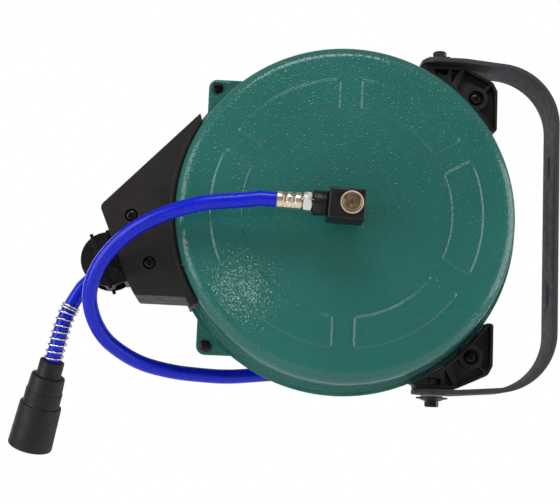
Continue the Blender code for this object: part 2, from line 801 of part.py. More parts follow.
def make_ear_screws():
    """Pan-head screws with a cross recess, two in the ears and two down the bracket bosses."""
    for u, label_u in ((-1, "left"), (1, "right")):
        for v, label_v in ((1, "upper"), (-1, "lower")):
            if u < 0:
                seat = -sheet - 2 * clear
                end = sheet * 2 + screw_past_ear
            else:
                seat = -bracket_half_depth + boss_recess_depth - clear
                end = bracket_half_depth - sheet
            top = seat - screw_head_height
            profile = [(0, end), (screw_radius, end), (screw_radius, seat), (screw_head_radius, seat),
                       (screw_head_radius, seat - screw_head_height * 0.45),
                       (screw_head_radius * 0.6, top), (0, top)]
            place = (u * ear_screw_offset, 0, v * ear_screw_offset)
            screw = turned(f"ear_screw_{label_v}_{label_u}", profile, dark_steel, centre=place, steps=14)
            arm = screw_head_radius * 0.5
            width = screw_slot_width / 2
            cross = [(width, arm), (width, width), (arm, width), (arm, -width), (width, -width),
                     (width, -arm), (-width, -arm), (-width, -width), (-arm, -width), (-arm, width),
                     (-width, width), (-width, arm)]
            turn = radians(11 + 17 * u + 5 * v)
            cross = [(a * cos(turn) - b * sin(turn), a * sin(turn) + b * cos(turn)) for a, b in cross]
            cut(screw, plate(f"cross_{label_v}_{label_u}", [cross[::-1]], top - 1 * mm,
                             top + screw_slot_depth, centre=place))


def cover_profile(side, hole_radius):
    """Closed section of a pressed cover from its face round to the flange, both surfaces."""
    bend = case_edge_round
    centre_r, centre_h = case_radius - bend, case_half_depth - bend
    low = clear / 2
    section = [(hole_radius, case_half_depth)]
    section += arc(bend, 90, 0, 3, centre_r, centre_h)
    section += [(case_radius, step_height), (step_radius, step_height), (step_radius, low + sheet),
                (flange_radius, low + sheet), (flange_radius, low), (step_radius - sheet, low),
                (step_radius - sheet, step_height - sheet), (case_radius - sheet, step_height - sheet),
                (case_radius - sheet, centre_h), (centre_r, case_half_depth - sheet),
                (hole_radius, case_half_depth - sheet)]
    return [(r, side * h) for r, h in section][::side]


def make_cover(name, side, hole_radius):
    """Pressed steel half of the case with its flange and four ears."""
    cover = turned(name, cover_profile(side, hole_radius), green_enamel, closed=True)
    low, high = sorted((side * (clear / 2 + weld), side * (clear / 2 + sheet - weld)))
    reach = ear_half_side
    foot = sqrt((flange_radius - ear_side_inset) ** 2 - reach ** 2)
    root = polar(flange_radius - ear_root_inset, 45 + ear_root_turn)
    for u in (-1, 1):
        for v in (-1, 1):
            ear = rounded([(u * reach, v * foot, 0), (u * reach, v * reach, ear_corner_radius),
                           (u * foot, v * reach, 0), (u * root[0], v * root[1], 0)])
            fuse(cover, plate(f"{name}_ear_{u}_{v}", [ear], low, high))
    outside = case_radius + window_outside
    window = guide_sector(case_radius - window_inside, outside, guide_spike_angle + 3, guide_foot_angle - 3)
    top_angle = guide_spike_angle - 0.6
    foot_angle = guide_foot_angle + 0.6
    gap = arc(case_radius + guide_to_case * 0.3, top_angle, foot_angle, 36)
    gap += arc(outside, foot_angle, top_angle, 36)
    deep = step_height + overcut
    cut(cover, plate(name + "_flange_gap", [gap], -deep, deep),
        plate(name + "_window", [window], -window_half_depth, window_half_depth))
    for u in (-1, 1):
        for v in (-1, 1):
            cut(cover, rod(f"{name}_hole_{u}_{v}", screw_radius + clear, -deep, deep, None,
                           centre=(u * ear_screw_offset, 0, v * ear_screw_offset), steps=16))
    return cover


def guide_sector(inner, outer, start, end):
    return arc(inner, start, end, 12) + arc(outer, end, start, 12)


def make_pads(cover):
    """Six raised sector pads pressed in the front face, with parallel gaps and sloped edges."""
    body = bmesh.new()
    for number in range(pad_count):
        middle = 360 * number / pad_count
        half_gap = pad_spacing / 2
        reach = 180 / pad_count
        inner = reach - degrees(asin(half_gap / pad_inner_radius))
        outer = reach - degrees(asin(half_gap / pad_outer_radius))
        loop = arc(pad_outer_radius, middle - outer, middle + outer, 7)
        loop += arc(pad_inner_radius, middle + inner, middle - inner, 7)
        points = [body.verts.new((u, v, 0)) for u, v in loop]
        face = body.faces.new(points)
        wall = bmesh.ops.extrude_face_region(body, geom=[face], use_keep_orig=True)
        lifted = [g for g in wall["geom"] if isinstance(g, bmesh.types.BMVert)]
        bmesh.ops.translate(body, vec=(0, 0, sheet / 2), verts=lifted)
        top = [g for g in wall["geom"] if isinstance(g, bmesh.types.BMFace)]
        bmesh.ops.inset_region(body, faces=top, thickness=pad_slope, depth=pad_height)
    bmesh.ops.recalc_face_normals(body, faces=body.faces)
    mesh = bpy.data.meshes.new("pads")
    body.to_mesh(mesh)
    body.free()
    pads = add("pads", mesh, None, reel, (0, -case_half_depth + sheet / 2, 0), (pi / 2, 0, 0))
    fuse(cover, pads)


make_strap()
for side, label in ((1, "upper"), (-1, "lower")):
    make_swivel(side, label)
    make_corner_bracket(side, label)
make_ear_screws()
front_cover = make_cover("front_cover", -1, spindle_radius + front_bush_wall + 2 * clear)
make_pads(front_cover)
make_cover("rear_cover", 1, arbor_stud_radius + clear)


def cage_point(normal_reach, along_reach):
    """A point in the cage, out along its outlet direction and along its base."""
    out = Vector(polar(1, cage_tilt))
    along = Vector((-out.y, out.x))
    return tuple(Vector((cage_x, cage_z)) + out * normal_reach + along * along_reach)


def guide_turns():
    """Corners of the guide: two on its outlet face, its chamfer and its bottom end."""
    return [cage_point(-cage_to_guide, guide_face_top), cage_point(-cage_to_guide, guide_face_bottom),
            beside_case(*guide_chamfer), beside_case(*guide_bottom_end)]


def guide_outline():
    """Side outline of the hose guide, counter-clockwise from its spike."""
    edge = [(*polar(case_radius + guide_spike_reach, guide_spike_angle), 0)]
    edge += [(*point, radius) for point, radius in zip(guide_turns(), guide_rounds)]
    edge += [(*polar(case_radius + guide_foot_reach, guide_foot_angle), 0)]
    lip_end = guide_spike_angle + guide_spike_cut
    return rounded(edge, 3) + arc(guide_lip_radius, guide_foot_angle - guide_foot_cut, lip_end, 20)


def inset_outline(points, distance):
    """The same closed counter-clockwise outline moved inward by a wall."""
    result = []
    count = len(points)
    for i in range(count):
        a, b, c = Vector(points[i - 1]), Vector(points[i]), Vector(points[(i + 1) % count])
        first = (b - a).normalized()
        second = (c - b).normalized()
        n1 = Vector((-first.y, first.x))
        n2 = Vector((-second.y, second.x))
        mean = (n1 + n2).normalized()
        result.append(tuple(b + mean * (distance / max(0.35, mean.dot(n1)))))
    return result


def make_guide(name, side):
    """One half of the moulded guide, a box open towards the case and at the outlet face."""
    outline = guide_outline()
    low, high = sorted((side * clear / 2, side * guide_half_depth))
    half = plate(name, [outline], low, high, black_plastic)
    hollow = guide_half_depth - guide_wall
    spike = polar(case_radius + guide_spike_reach, guide_spike_angle)
    inner = inset_outline([spike] + guide_turns(), guide_wall)
    mouth = guide_lip_radius - guide_mouth_inset
    room = [polar(case_radius + guide_room_reach, guide_spike_angle + 3)] + inner[1:4]
    room += [beside_case(*guide_room_end), polar(mouth, guide_foot_angle - 3.5),
             polar(mouth, guide_spike_angle + 3)]
    low, high = sorted((-side * guide_wall, side * hollow))
    cut(half, plate(name + "_room", [room], low, high))
    low, high = sorted((-side * guide_wall, side * (roller_half_length + 2 * clear)))
    cut(half, plate(name + "_outlet", [outlet_window(-cage_to_guide - 2 * guide_wall, overcut)], low, high))
    foot = side * (hollow + guide_wall / 2)
    seat = -guide_half_depth + guide_screw_depth
    bore = guide_screw_radius + clear
    places = [beside_case(*point) for point in guide_screws]
    for number, (u, v) in enumerate(places):
        if side > 0:
            post = [(0, foot), (guide_post_radius, foot), (guide_post_radius, clear), (0, clear)]
        else:
            neck = seat + guide_wall
            post = [(0, -clear), (guide_post_radius, -clear), (guide_post_radius, neck),
                    (guide_collar_radius, neck), (guide_collar_radius, foot), (0, foot)]
        fuse(half, turned(f"{name}_post_{number}", post, centre=(u, 0, v), steps=16))
    for number, (u, v) in enumerate(places):
        if side > 0:
            hole = [(0, guide_bore_end), (bore, guide_bore_end), (bore, -overcut), (0, -overcut)]
        else:
            wide = screw_head_radius + 2 * clear
            front = -guide_half_depth - overcut
            hole = [(0, overcut), (bore, overcut), (bore, seat), (wide, seat), (wide, front), (0, front)]
        cut(half, turned(f"{name}_hole_{number}", hole, centre=(u, 0, v), steps=14))
    if side < 0:
        edge = guide_lip_radius + bead_inset
        bead = guide_sector(edge, edge + bead_width, guide_spike_angle + 2.5, guide_foot_angle - 1.5)
        fuse(half, plate("guide_bead", [bead], -guide_half_depth - bead_height,
                         -guide_half_depth + guide_wall / 2))


def hose_line():
    """Centre, direction and angle of the straight hose run from the winding to the outlet."""
    centre = Vector((cage_x, cage_z))
    tangent = degrees(atan2(centre.y, centre.x)) % 360 - degrees(acos(winding_radius / centre.length))
    return centre, Vector(polar(1, tangent + 90)), tangent


def make_guide_screws():
    for number, point in enumerate(guide_screws):
        u, v = beside_case(*point)
        seat = -guide_half_depth + guide_screw_depth - clear
        top = seat - screw_head_height
        end = guide_bore_end - clear
        profile = [(0, end), (guide_screw_radius, end), (guide_screw_radius, seat),
                   (screw_head_radius, seat), (screw_head_radius, seat - screw_head_height * 0.45),
                   (screw_head_radius * 0.6, top), (0, top)]
        turned(f"guide_screw_{number + 1}", profile, dark_steel, centre=(u, 0, v), steps=16)


def roller_centres():
    """Two rollers on each side of the hose line, clear of its surface."""
    centre, heading, _ = hose_line()
    side = Vector((-heading.y, heading.x))
    offset = hose_radius + roller_radius + clear
    spots = ((-roller_stagger, -offset), (roller_stagger, offset), (0, offset), outer_roller)
    return [tuple(centre + heading * along + side * out) for along, out in spots]


def outlet_window(back, front):
    """Outline of the outlet window, which the first and third rollers reach into."""
    out = Vector(polar(1, cage_tilt))
    along = Vector((-out.y, out.x))
    offsets = [Vector(spot) - Vector((cage_x, cage_z)) for spot in roller_centres()[:3:2]]
    spread = [offset.dot(along) for offset in offsets]
    low = min(spread) - roller_radius - window_margin
    high = max(spread) + roller_radius + window_margin
    return [cage_point(back, low), cage_point(front, low), cage_point(front, high), cage_point(back, high)]


def make_cage():
    """Side cheeks and base of the outlet rollers, with the four rollers on their pins."""
    roller_places = roller_centres()
    at = cage_point
    back = -(cage_to_guide - clear)
    span = degrees(acos(-back / cage_radius))
    cheek = arc(cage_radius, cage_tilt - 180 + span, cage_tilt + 180 - span, 20, cage_x, cage_z)
    inner_y = roller_half_length + cheek_gap
    outer_y = inner_y + cheek_thickness
    body = plate("roller_cage", [cheek], -outer_y, -inner_y, black_plastic)
    fuse(body, plate("rear_cheek", [cheek], inner_y, outer_y))
    width = cage_half_width
    base_back = back
    base_front = back + cage_base_thickness
    foot = [at(base_back, -width), at(base_front, -width), at(base_front, width), at(base_back, width)]
    base = plate("cage_base", [foot[::-1]], -outer_y - cage_flange, outer_y + cage_flange)
    window = outlet_window(base_back - overcut, base_front + overcut)
    cut(base, plate("cage_window", [window[::-1]], -roller_half_length - clear, roller_half_length + clear))
    fuse(body, base)
    rib_low, rib_high = cage_rib_back, cage_rib_front
    rib_end = cage_radius + cage_rib_reach
    for sign in (-1, 1):
        rib = [at(rib_low, -rib_end), at(rib_high, -rib_end), at(rib_high, rib_end), at(rib_low, rib_end)]
        low, high = sorted((sign * (outer_y - cheek_thickness / 3), sign * (outer_y + cage_rib_height)))
        fuse(body, plate(f"cage_rib_{sign}", [rib[::-1]], low, high))
    for number, (u, v) in enumerate(roller_places):
        cut(body, rod(f"pin_hole_{number}", pin_radius + clear / 2, -outer_y - overcut - pin_end,
                      outer_y + overcut + pin_end, centre=(u, 0, v)))
    for number, (u, v) in enumerate(roller_places):
        label = number + 1
        rod(f"roller_pin_{label}", pin_radius, -outer_y - pin_end, outer_y + pin_end, zinc_steel,
            centre=(u, 0, v))
        rod(f"roller_{label}", roller_radius, -roller_half_length, roller_half_length, nylon,
            centre=(u, 0, v), bore=roller_bore_radius)


make_guide("guide_front", -1)
make_guide("guide_rear", 1)
make_guide_screws()
make_cage()


def make_drum():
    """Moulded drum: open-backed barrel with a web and front flange, ratcheted rear flange."""
    tip = drum_half_width + drum_flange_thickness
    front_low = -tip
    web_back = drum_web_back
    inner = barrel_radius - barrel_wall
    rear = drum_half_width - clear
    profile = [(barrel_radius, rear), (barrel_radius, -drum_half_width),
               (drum_flange_radius, -drum_half_width), (drum_flange_radius, front_low),
               (inner, front_low), (inner, drum_web_front), (drum_hub_radius, drum_web_front),
               (drum_hub_radius, web_back), (inner, web_back), (inner, rear)]
    barrel = turned("drum_barrel", profile, drum_plastic, steps=drum_steps, closed=True)
    for number in range(drum_screws):
        u, v = polar(drum_screw_circle, 360 * number / drum_screws + drum_screw_phase)
        cut(barrel, rod(f"web_hole_{number}", screw_radius, drum_web_front - overcut, web_back + overcut,
                        centre=(u, 0, v), steps=12))
    for number in range(drum_slots):
        start = 360 * number / drum_slots + drum_slot_phase
        slot = arc(drum_slot_inner, start, start + drum_slot_sweep, 6)
        slot += arc(drum_slot_outer, start + drum_slot_sweep, start, 6)
        cut(barrel, plate(f"web_slot_{number}", [slot], drum_web_front - overcut, web_back + overcut))

    bore = arbor_radius + 2 * clear
    disc = [(drum_flange_radius, tip), (drum_flange_radius, drum_half_width),
            (bore, drum_half_width), (bore, tip)]
    rear_flange = turned("drum_rear_flange", disc, drum_plastic, steps=drum_steps, closed=True)
    teeth = []
    for i in range(ratchet_teeth):
        start = 360 * i / ratchet_teeth + ratchet_phase
        pitch = 360 / ratchet_teeth
        teeth.append(polar(ratchet_tip_radius, start))
        teeth.append(polar(ratchet_tip_radius, start + pitch * tooth_crest))
        teeth.append(polar(ratchet_root_radius, start + pitch * tooth_heel))
        teeth.append(polar(ratchet_root_radius, start + pitch * tooth_foot))
    ring = plate("ratchet_ring", [teeth, circle(ratchet_root_radius - ratchet_ring_width, count=32)],
                 tip - drum_flange_thickness / 5, tip + ratchet_height)
    fuse(rear_flange, ring)

    core_half = drum_half_width - clear
    turned("hose_core", [(core_radius, core_half), (core_radius, -core_half),
                         (barrel_radius + clear, -core_half), (barrel_radius + clear, core_half)],
           blue_hose, steps=drum_steps, closed=True)


def make_shafts():
    """Fixed arbor with the spring, and the hollow spindle that turns with the drum."""
    profile = [(0, arbor_stud_end), (arbor_stud_radius - arbor_stud_chamfer, arbor_stud_end),
               (arbor_stud_radius, arbor_stud_end - arbor_stud_chamfer), (arbor_stud_radius, arbor_shoulder),
               (arbor_radius, arbor_shoulder), (arbor_radius, arbor_front), (0, arbor_front)]
    arbor = turned("spring_arbor", profile, zinc_steel, steps=24)
    half_slot = arbor_slot_width / 2
    cut(arbor, box("arbor_slot", (arbor_radius - arbor_slot_depth, arbor_front - overcut, -half_slot),
                   (arbor_radius + overcut, spring_high + 2 * clear, half_slot)))

    seat = case_half_depth + clear
    rod("arbor_washer", arbor_washer_radius, seat, seat + arbor_washer_thickness, zinc_steel,
        bore=arbor_stud_radius + clear, steps=20)
    nut_low = seat + arbor_washer_thickness + clear
    plate("arbor_nut", [polygon(arbor_nut_flats), circle(arbor_stud_radius + clear, count=16)],
          nut_low, nut_low + arbor_nut_height, zinc_steel)

    band = []
    turns = spring_turns * spring_points_per_turn
    for i in range(turns + 1):
        share = i / turns
        radius = spring_inner_radius + (spring_outer_radius - spring_inner_radius) * share
        band.append((radius, 360 * spring_turns * share))
    inner_hook = (arbor_radius - arbor_slot_depth + spring_hook, 0)
    start_hook = (arbor_radius + spring_to_arbor / 2, 0)
    line = [inner_hook, start_hook] + [polar(r, a) for r, a in band]
    outline = thick_line(line, spring_band)
    plate("power_spring", [outline], spring_low, spring_high, spring_steel)

    flange_back = drum_web_front - clear
    flange_front = flange_back - spindle_flange_thickness
    length = block_front - ring_thickness - clear - spindle_proud
    profile = [(0, flange_back), (spindle_flange_radius, flange_back),
               (spindle_flange_radius, flange_front), (spindle_radius, flange_front),
               (spindle_radius, length + spindle_chamfer), (spindle_radius - spindle_chamfer, length),
               (0, length)]
    rounds = turned("spindle", profile, brass, steps=28)
    cut(rounds, rod("spindle_bore", spindle_bore_radius, length + spindle_end_wall,
                    flange_back + overcut, steps=18),
        rod("spindle_port", spindle_port_radius, -spindle_radius - overcut, spindle_bore_radius / 4, None,
            reel, "X", (0, block_front + block_depth / 2, 0), steps=12),
        rod("spindle_dimple", dimple_radius, length - overcut, length + dimple_depth, steps=12))
    for number in range(drum_screws):
        u, v = polar(drum_screw_circle, 360 * number / drum_screws + drum_screw_phase)
        cut(rounds, rod(f"flange_hole_{number}", flange_hole_radius, flange_front - overcut,
                        flange_back + overcut, centre=(u, 0, v), steps=12))

    bush_bore = spindle_radius + clear
    bush_outer = spindle_radius + front_bush_wall + clear
    back = -case_half_depth + sheet + clear
    inside = back + front_bush_thickness
    front = -case_half_depth - front_bush_reach
    bush = [(bush_outer + front_bush_flange, inside), (bush_outer + front_bush_flange, back),
            (bush_outer, back), (bush_outer, front), (bush_bore, front), (bush_bore, inside)]
    turned("front_bush", bush, black_plastic, closed=True, steps=28)


def thick_line(line, thickness):
    """Outline of a flat band that follows a plane line."""
    left, right = [], []
    for i, here in enumerate(line):
        before = Vector(line[max(0, i - 1)])
        after = Vector(line[min(len(line) - 1, i + 1)])
        along = (after - before).normalized()
        out = Vector((-along.y, along.x)) * (thickness / 2)
        left.append(tuple(Vector(here) + out))
        right.append(tuple(Vector(here) - out))
    return right + left[::-1]


def make_pawl():
    """Sprung pawl on the rear cover, resting just clear of the ratchet teeth."""
    tip = drum_half_width + drum_flange_thickness
    low = tip + clear * 2
    high = low + ratchet_height - clear
    hub = Vector(polar(ratchet_tip_radius + pawl_pivot_reach, pawl_pivot_angle))
    u, v = hub
    point = Vector(polar(ratchet_tip_radius + pawl_nose_gap, pawl_nose_angle))
    rear = Vector(polar(ratchet_tip_radius + pawl_nose_gap + pawl_nose_width, pawl_nose_angle + 1))
    along = (point - hub).normalized()
    out = Vector((-along.y, along.x))
    outline = [hub - out * (pawl_hub_radius / 2), point, rear, hub + out * (pawl_hub_radius * 2 / 3)]
    pawl = plate("pawl", [outline], low, high, dark_steel)
    hub_top = high + pawl_hub_height
    fuse(pawl, rod("pawl_hub", pawl_hub_radius, low, hub_top, centre=(u, 0, v), steps=20))
    cut(pawl, rod("pawl_bore", pawl_pin_radius + clear, low - overcut, hub_top + overcut,
                  centre=(u, 0, v), steps=16))
    inside = case_half_depth - sheet - clear
    pin = rod("pawl_pin", pawl_pin_radius, low - clear, inside - pawl_foot_height / 3, zinc_steel,
              centre=(u, 0, v), steps=16)
    fuse(pin, rod("pawl_pin_foot", pawl_foot_radius, inside - pawl_foot_height, inside,
                  centre=(u, 0, v), steps=20))


def wind(radius, pitch, turns, start_angle, start_y, centre_z=0):
    """Points on a helix that runs along Y."""
    points = []
    total = round(turns * loop_points)
    for i in range(total + 1):
        share = i / total
        u, v = polar(radius, start_angle + 360 * turns * share)
        points.append(Vector((u, start_y + pitch * turns * share, centre_z + v)))
    return points


def make_hose():
    """Outer layer on the drum, the straight run to the rollers, and the free end."""
    centre, heading, tangent = hose_line()
    run = Vector((heading.x, 0, heading.y))
    half = winding_pitch * winding_turns / 2
    line = wind(winding_radius, winding_pitch, winding_turns, tangent - 360 * winding_turns, -half)
    end = line[-1]
    first = (line[0] - line[1]).normalized()
    first.y = 0
    first.normalize()
    straight = 2 * hose_radius
    points = [line[0] + first * straight] + line + [end + run * straight]
    print("winding gap mm", round(least_gap(points, hose_radius, 6) / mm, 3))
    print("winding length m", round(route_length(points), 3))
    tube("hose_winding", points, hose_radius, blue_hose, sides=1)

    start = end + run * (straight + clear)
    outlet = Vector((centre.x, 0, centre.y))
    stop = outlet + run * lead_out_end
    before_rollers = outlet - run * roller_approach
    beside = start + run * first_stretch - Vector((0, first_drift, 0))
    middle = start.lerp(before_rollers, straightened)
    knots = [start + run * straight, beside, middle, before_rollers, outlet, stop]
    lead = [start] + smooth_route(knots, 2 * hose_radius)
    tube("hose_lead_out", lead, hose_radius, blue_hose, sides=2)
    print("lead out mm", round(route_length(lead) / mm, 1))

    down_u, down_v = polar(cos(radians(boot_lean)), boot_heading)
    down = Vector((down_u, sin(radians(boot_lean)), down_v))
    top = outlet + Vector(boot_top)
    meet = stop + run * clear
    knots = [meet + run * straight]
    knots += [outlet + Vector(knot) for knot in outlet_knots]
    knots += [top - down * straight, top, top + down * (hose_in_boot / 2), top + down * hose_in_boot]
    free = [meet] + smooth_route(knots, 1.4 * hose_radius)
    tube("outlet_hose", free, hose_radius, blue_hose, sides=2)
    print("outlet hose mm", round(route_length(free) / mm, 1))
    return smooth_route(knots, route_step), top, down


def make_guard(fine, top):
    """Wire bend guard wound around the hose above the boot."""
    place = min(range(len(fine)), key=lambda i: (fine[i] - top).length)
    stop = place - round((guard_wire_radius + 2 * clear) / route_step)
    first = stop - round(guard_length / route_step)
    steps = (guard_turns + guard_end_turns) * guard_points_per_turn
    points = []
    for i in range(steps + 1):
        turn = i / guard_points_per_turn
        if turn < guard_end_turns:
            along = turn * guard_end_pitch
        else:
            along = (guard_end_turns * guard_end_pitch
                     + (turn - guard_end_turns) / guard_turns
                     * (guard_length - guard_end_turns * guard_end_pitch))
        where = first + along / route_step
        k = min(len(fine) - 2, int(where))
        here = fine[k].lerp(fine[k + 1], where - k)
        direction = (fine[k + 1] - fine[k - 1]).normalized()
        out = direction.cross(Vector((0, 1, 0))).normalized()
        side = out.cross(direction)
        a = tau * turn
        points.append(here + (side * cos(a) + out * sin(a)) * guard_radius)
    print("guard gap mm", round(least_gap(points, guard_wire_radius, 6) / mm, 3))
    tube("bend_guard", points, guard_wire_radius, zinc_steel, sides=1)


def make_boot(top, down):
    """Moulded boot with the coupler in its mouth, on a slanted axis of its own."""
    boot_axis = frame_at("boot_axis", top, reel, (-down).to_track_quat("Z", "Y").to_euler())
    rim = -boot_length + boot_rim_round
    profile = [(boot_hole_radius, 0), (boot_top_radius, 0), (boot_top_radius, -boot_neck)]
    profile += [(radius, -depth) for radius, depth in boot_rings]
    profile += [(boot_rim_radius, rim), (boot_rim_radius - boot_rim_round, -boot_length),
                (boot_bore_radius, -boot_length), (boot_bore_radius, -boot_bore_start),
                (boot_hole_radius, -boot_bore_start)]
    turned("hose_boot", profile, black_rubber, boot_axis, "Z", steps=24, closed=True)
    low = -boot_length + boot_recess
    high = low + coupler_length
    bead = coupler_radius + coupler_bead
    inside = low + coupler_mouth_depth
    profile = [(0, high), (coupler_radius - coupler_chamfer, high), (coupler_radius, high - coupler_chamfer),
               (coupler_radius, low + coupler_bead_end), (bead, low + coupler_bead_end - coupler_bead),
               (bead, low + coupler_bead), (coupler_radius, low), (coupler_mouth_radius, low),
               (coupler_mouth_radius, inside), (0, inside)]
    turned("coupler", profile, zinc_steel, boot_axis, "Z", steps=20)


def make_inlet():
    """Square inlet block on the spindle with its sleeve, hex nipple and crimped ferrule."""
    back = block_front + block_depth
    block = box("inlet_block", (block_left, block_front, block_bottom), (block_right, back, block_top),
                dark_steel, inlet, block_corner)
    middle = (block_front + back) / 2
    cut(block, rod("block_bore", spindle_radius + clear, block_front - overcut, back + overcut, None, inlet),
        rod("block_port", hex_bore, block_left - overcut, 0, None, inlet, "X", (0, middle, 0)))
    ring_back = block_front - clear
    rod("retaining_ring", ring_radius, ring_back - ring_thickness, ring_back, zinc_steel,
        bore=spindle_radius + clear, steps=28)
    sleeve_end = block_left - clear - sleeve_length
    rod("connector_sleeve", sleeve_radius, sleeve_end, block_left - clear, dark_steel, inlet, "X",
        (0, middle, 0), 20, nipple_radius + clear)
    nipple_front = sleeve_end - clear
    nipple = plate("hex_nipple", [polygon(hex_flats, start=pi / 6)], nipple_front - hex_length,
                   nipple_front, zinc_steel, inlet, "X", (0, middle, 0))
    soften(nipple, hex_chamfer, 1)
    tail = nipple_front - hex_length - nipple_tail
    fuse(nipple, rod("nipple_stem", nipple_radius, nipple_front - hex_length / 7, block_left - clear, None,
                     inlet, "X", (0, middle, 0), 20),
         rod("nipple_tail", nipple_tail_radius, tail, nipple_front - hex_length * 6 / 7, None,
             inlet, "X", (0, middle, 0), 20))
    cut(nipple, rod("nipple_bore", spindle_bore_radius, tail - overcut, 0, None, inlet, "X",
                    (0, middle, 0), 16))

    start = nipple_front - hex_length - clear
    outer = [(ferrule_radius - ferrule_groove, start), (ferrule_radius, start - ferrule_groove)]
    space = ferrule_length / ferrule_bands
    for band in range(ferrule_bands - 1):
        where = start - space * (band + 1)
        floor = ferrule_radius - ferrule_groove
        outer += [(ferrule_radius, where + groove_top), (floor, where + groove_floor),
                  (floor, where - groove_floor), (ferrule_radius, where - groove_top)]
    bore = nipple_tail_radius + clear
    outer += [(ferrule_radius, ferrule_end), (bore, ferrule_end), (bore, start)]
    turned("crimp_ferrule", outer, brass, inlet, "X", (0, middle, 0), 20, True)


def make_supply():
    """Lead-in hose from the inlet around the back, and its coil hung on the arbor stud."""
    coil = wind(coil_radius, coil_pitch, coil_turns, -90, coil_start_y, coil_centre_z)
    straight = Vector((-2 * hose_radius, 0, 0))
    coil = [coil[0] + straight] + coil
    last = (coil[-1] - coil[-2]).normalized()
    coil.append(coil[-1] + last * 2 * hose_radius)
    meet = coil[0] + Vector((-clear, 0, 0))
    out_u, out_v = polar(1, 180 - inlet_tilt)
    outward = Vector((out_u, 0, out_v))
    start = Vector((0, block_front + block_depth / 2, 0)) + outward * (clear - ferrule_end)
    knots = [start + outward * 2 * hose_radius] + [Vector(k) for k in supply_knots] + [meet + straight]
    ready = [start] + smooth_route(knots, 2 * hose_radius) + [meet]
    tube("inlet_hose", ready, hose_radius, blue_hose, sides=2)
    tube("inlet_hose_coil", coil, hose_radius, blue_hose, sides=1)
    print("coil gap mm", round(least_gap(coil, hose_radius, 6) / mm, 3))
    print("lead-in mm", round((route_length(ready) + route_length(coil)) / mm, 1))
    return coil[-1], last


def make_plug(end, direction):
    """Male quick plug on the tail of the lead-in hose."""
    turn = direction.to_track_quat("Z", "Y").to_euler()
    plug_axis = frame_at("plug_axis", end + direction * clear, reel, turn)
    turned("inlet_plug", plug_rings, zinc_steel, plug_axis, "Z", steps=16)


def make_tie():
    """Strap around the two turns of the lead-in coil."""
    along = coil_start_y + coil_pitch * (tie_angle + 90) / 360 + coil_pitch / 2
    u, v = polar(coil_radius, tie_angle)
    tie_axis = frame_at("tie_axis", (u, along, coil_centre_z + v), reel, (0, radians(-tie_angle), 0))
    loops = []
    inner = hose_radius + 3 * clear
    for radius in (inner + tie_thickness, inner):
        loops.append(arc(radius, 0, 180, 8, 0, coil_pitch / 2)
                     + arc(radius, 180, 360, 8, 0, -coil_pitch / 2))
    plate("coil_tie", loops, -tie_half_width, tie_half_width, black_rubber, tie_axis, "Z")


make_drum()
make_shafts()
make_pawl()
outlet_line, boot_place, boot_down = make_hose()
make_guard(outlet_line, boot_place)
make_boot(boot_place, boot_down)
make_inlet()
plug_start, plug_direction = make_supply()
make_plug(plug_start, plug_direction)
make_tie()
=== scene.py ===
import math
import bpy
import bmesh
from mathutils import Matrix, Vector


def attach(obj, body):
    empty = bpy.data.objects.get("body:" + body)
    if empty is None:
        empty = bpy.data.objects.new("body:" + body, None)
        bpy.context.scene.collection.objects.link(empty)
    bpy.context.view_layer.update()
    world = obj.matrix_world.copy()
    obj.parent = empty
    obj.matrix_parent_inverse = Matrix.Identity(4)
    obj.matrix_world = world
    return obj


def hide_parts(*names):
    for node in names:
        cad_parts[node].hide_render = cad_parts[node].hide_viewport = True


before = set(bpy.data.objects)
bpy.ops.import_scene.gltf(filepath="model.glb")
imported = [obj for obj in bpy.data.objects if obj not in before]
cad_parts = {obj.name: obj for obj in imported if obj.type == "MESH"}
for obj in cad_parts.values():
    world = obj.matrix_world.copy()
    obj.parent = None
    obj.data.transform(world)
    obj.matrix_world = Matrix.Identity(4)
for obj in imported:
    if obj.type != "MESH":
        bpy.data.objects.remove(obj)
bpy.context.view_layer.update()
mm = 0.001
reelX = -0.175                     # reel axis, in front of the wall
black, white = (0, 0, 0, 1), (1, 1, 1, 1)


def reelPoint(x, y, z):
    return Vector((reelX + x * mm, y * mm, z * mm))


def newObject(name, data):
    item = bpy.data.objects.new(name, data)
    bpy.context.scene.collection.objects.link(item)
    return item


# Camera, floor and light

studio = {
    "cameraPlace": (-0.26297, -1.04942, -0.18181),
    "azimuth": 2.098, "elevation": 8.361, "roll": 2.398, "lens": 83.59, "sensor": 36,
    "floorHeight": -0.75, "floorHalf": 3, "floorColour": (0.9, 0.9, 0.9, 1), "floorRoughness": 0.9,
    "backdrop": 1.0, "roomLight": 0.26,
}
# Each light: place, aim, size and power
lights = {
    "leftBank": ((-1.8, -0.9, 0.2), (reelX, 0, 0), (1.1, 1.7), 23),
    "leftBack": ((-1.3, 1.1, 0.2), (reelX, 0, 0), (0.9, 1.3), 4),
    "rightBank": ((1.45, -0.4, 0.15), (reelX, 0, 0), (1.5, 1.4), 23),
    "rightBack": ((1.3, 1.0, 0.15), (reelX, 0, 0), (1.1, 1.5), 7),
    "frontTop": ((-0.4, -1.6, 2.0), (reelX, 0, 0), (1.5, 0.9), 31),
    "sparkle": ((-0.245, -1.85, 0.14), (-0.25, 0, -0.05), (0.05, 0.05), 0.12),
    "backCard": ((reelX, 1.9, 0.1), (reelX, 0, 0), (2.4, 1.7), 3),
}


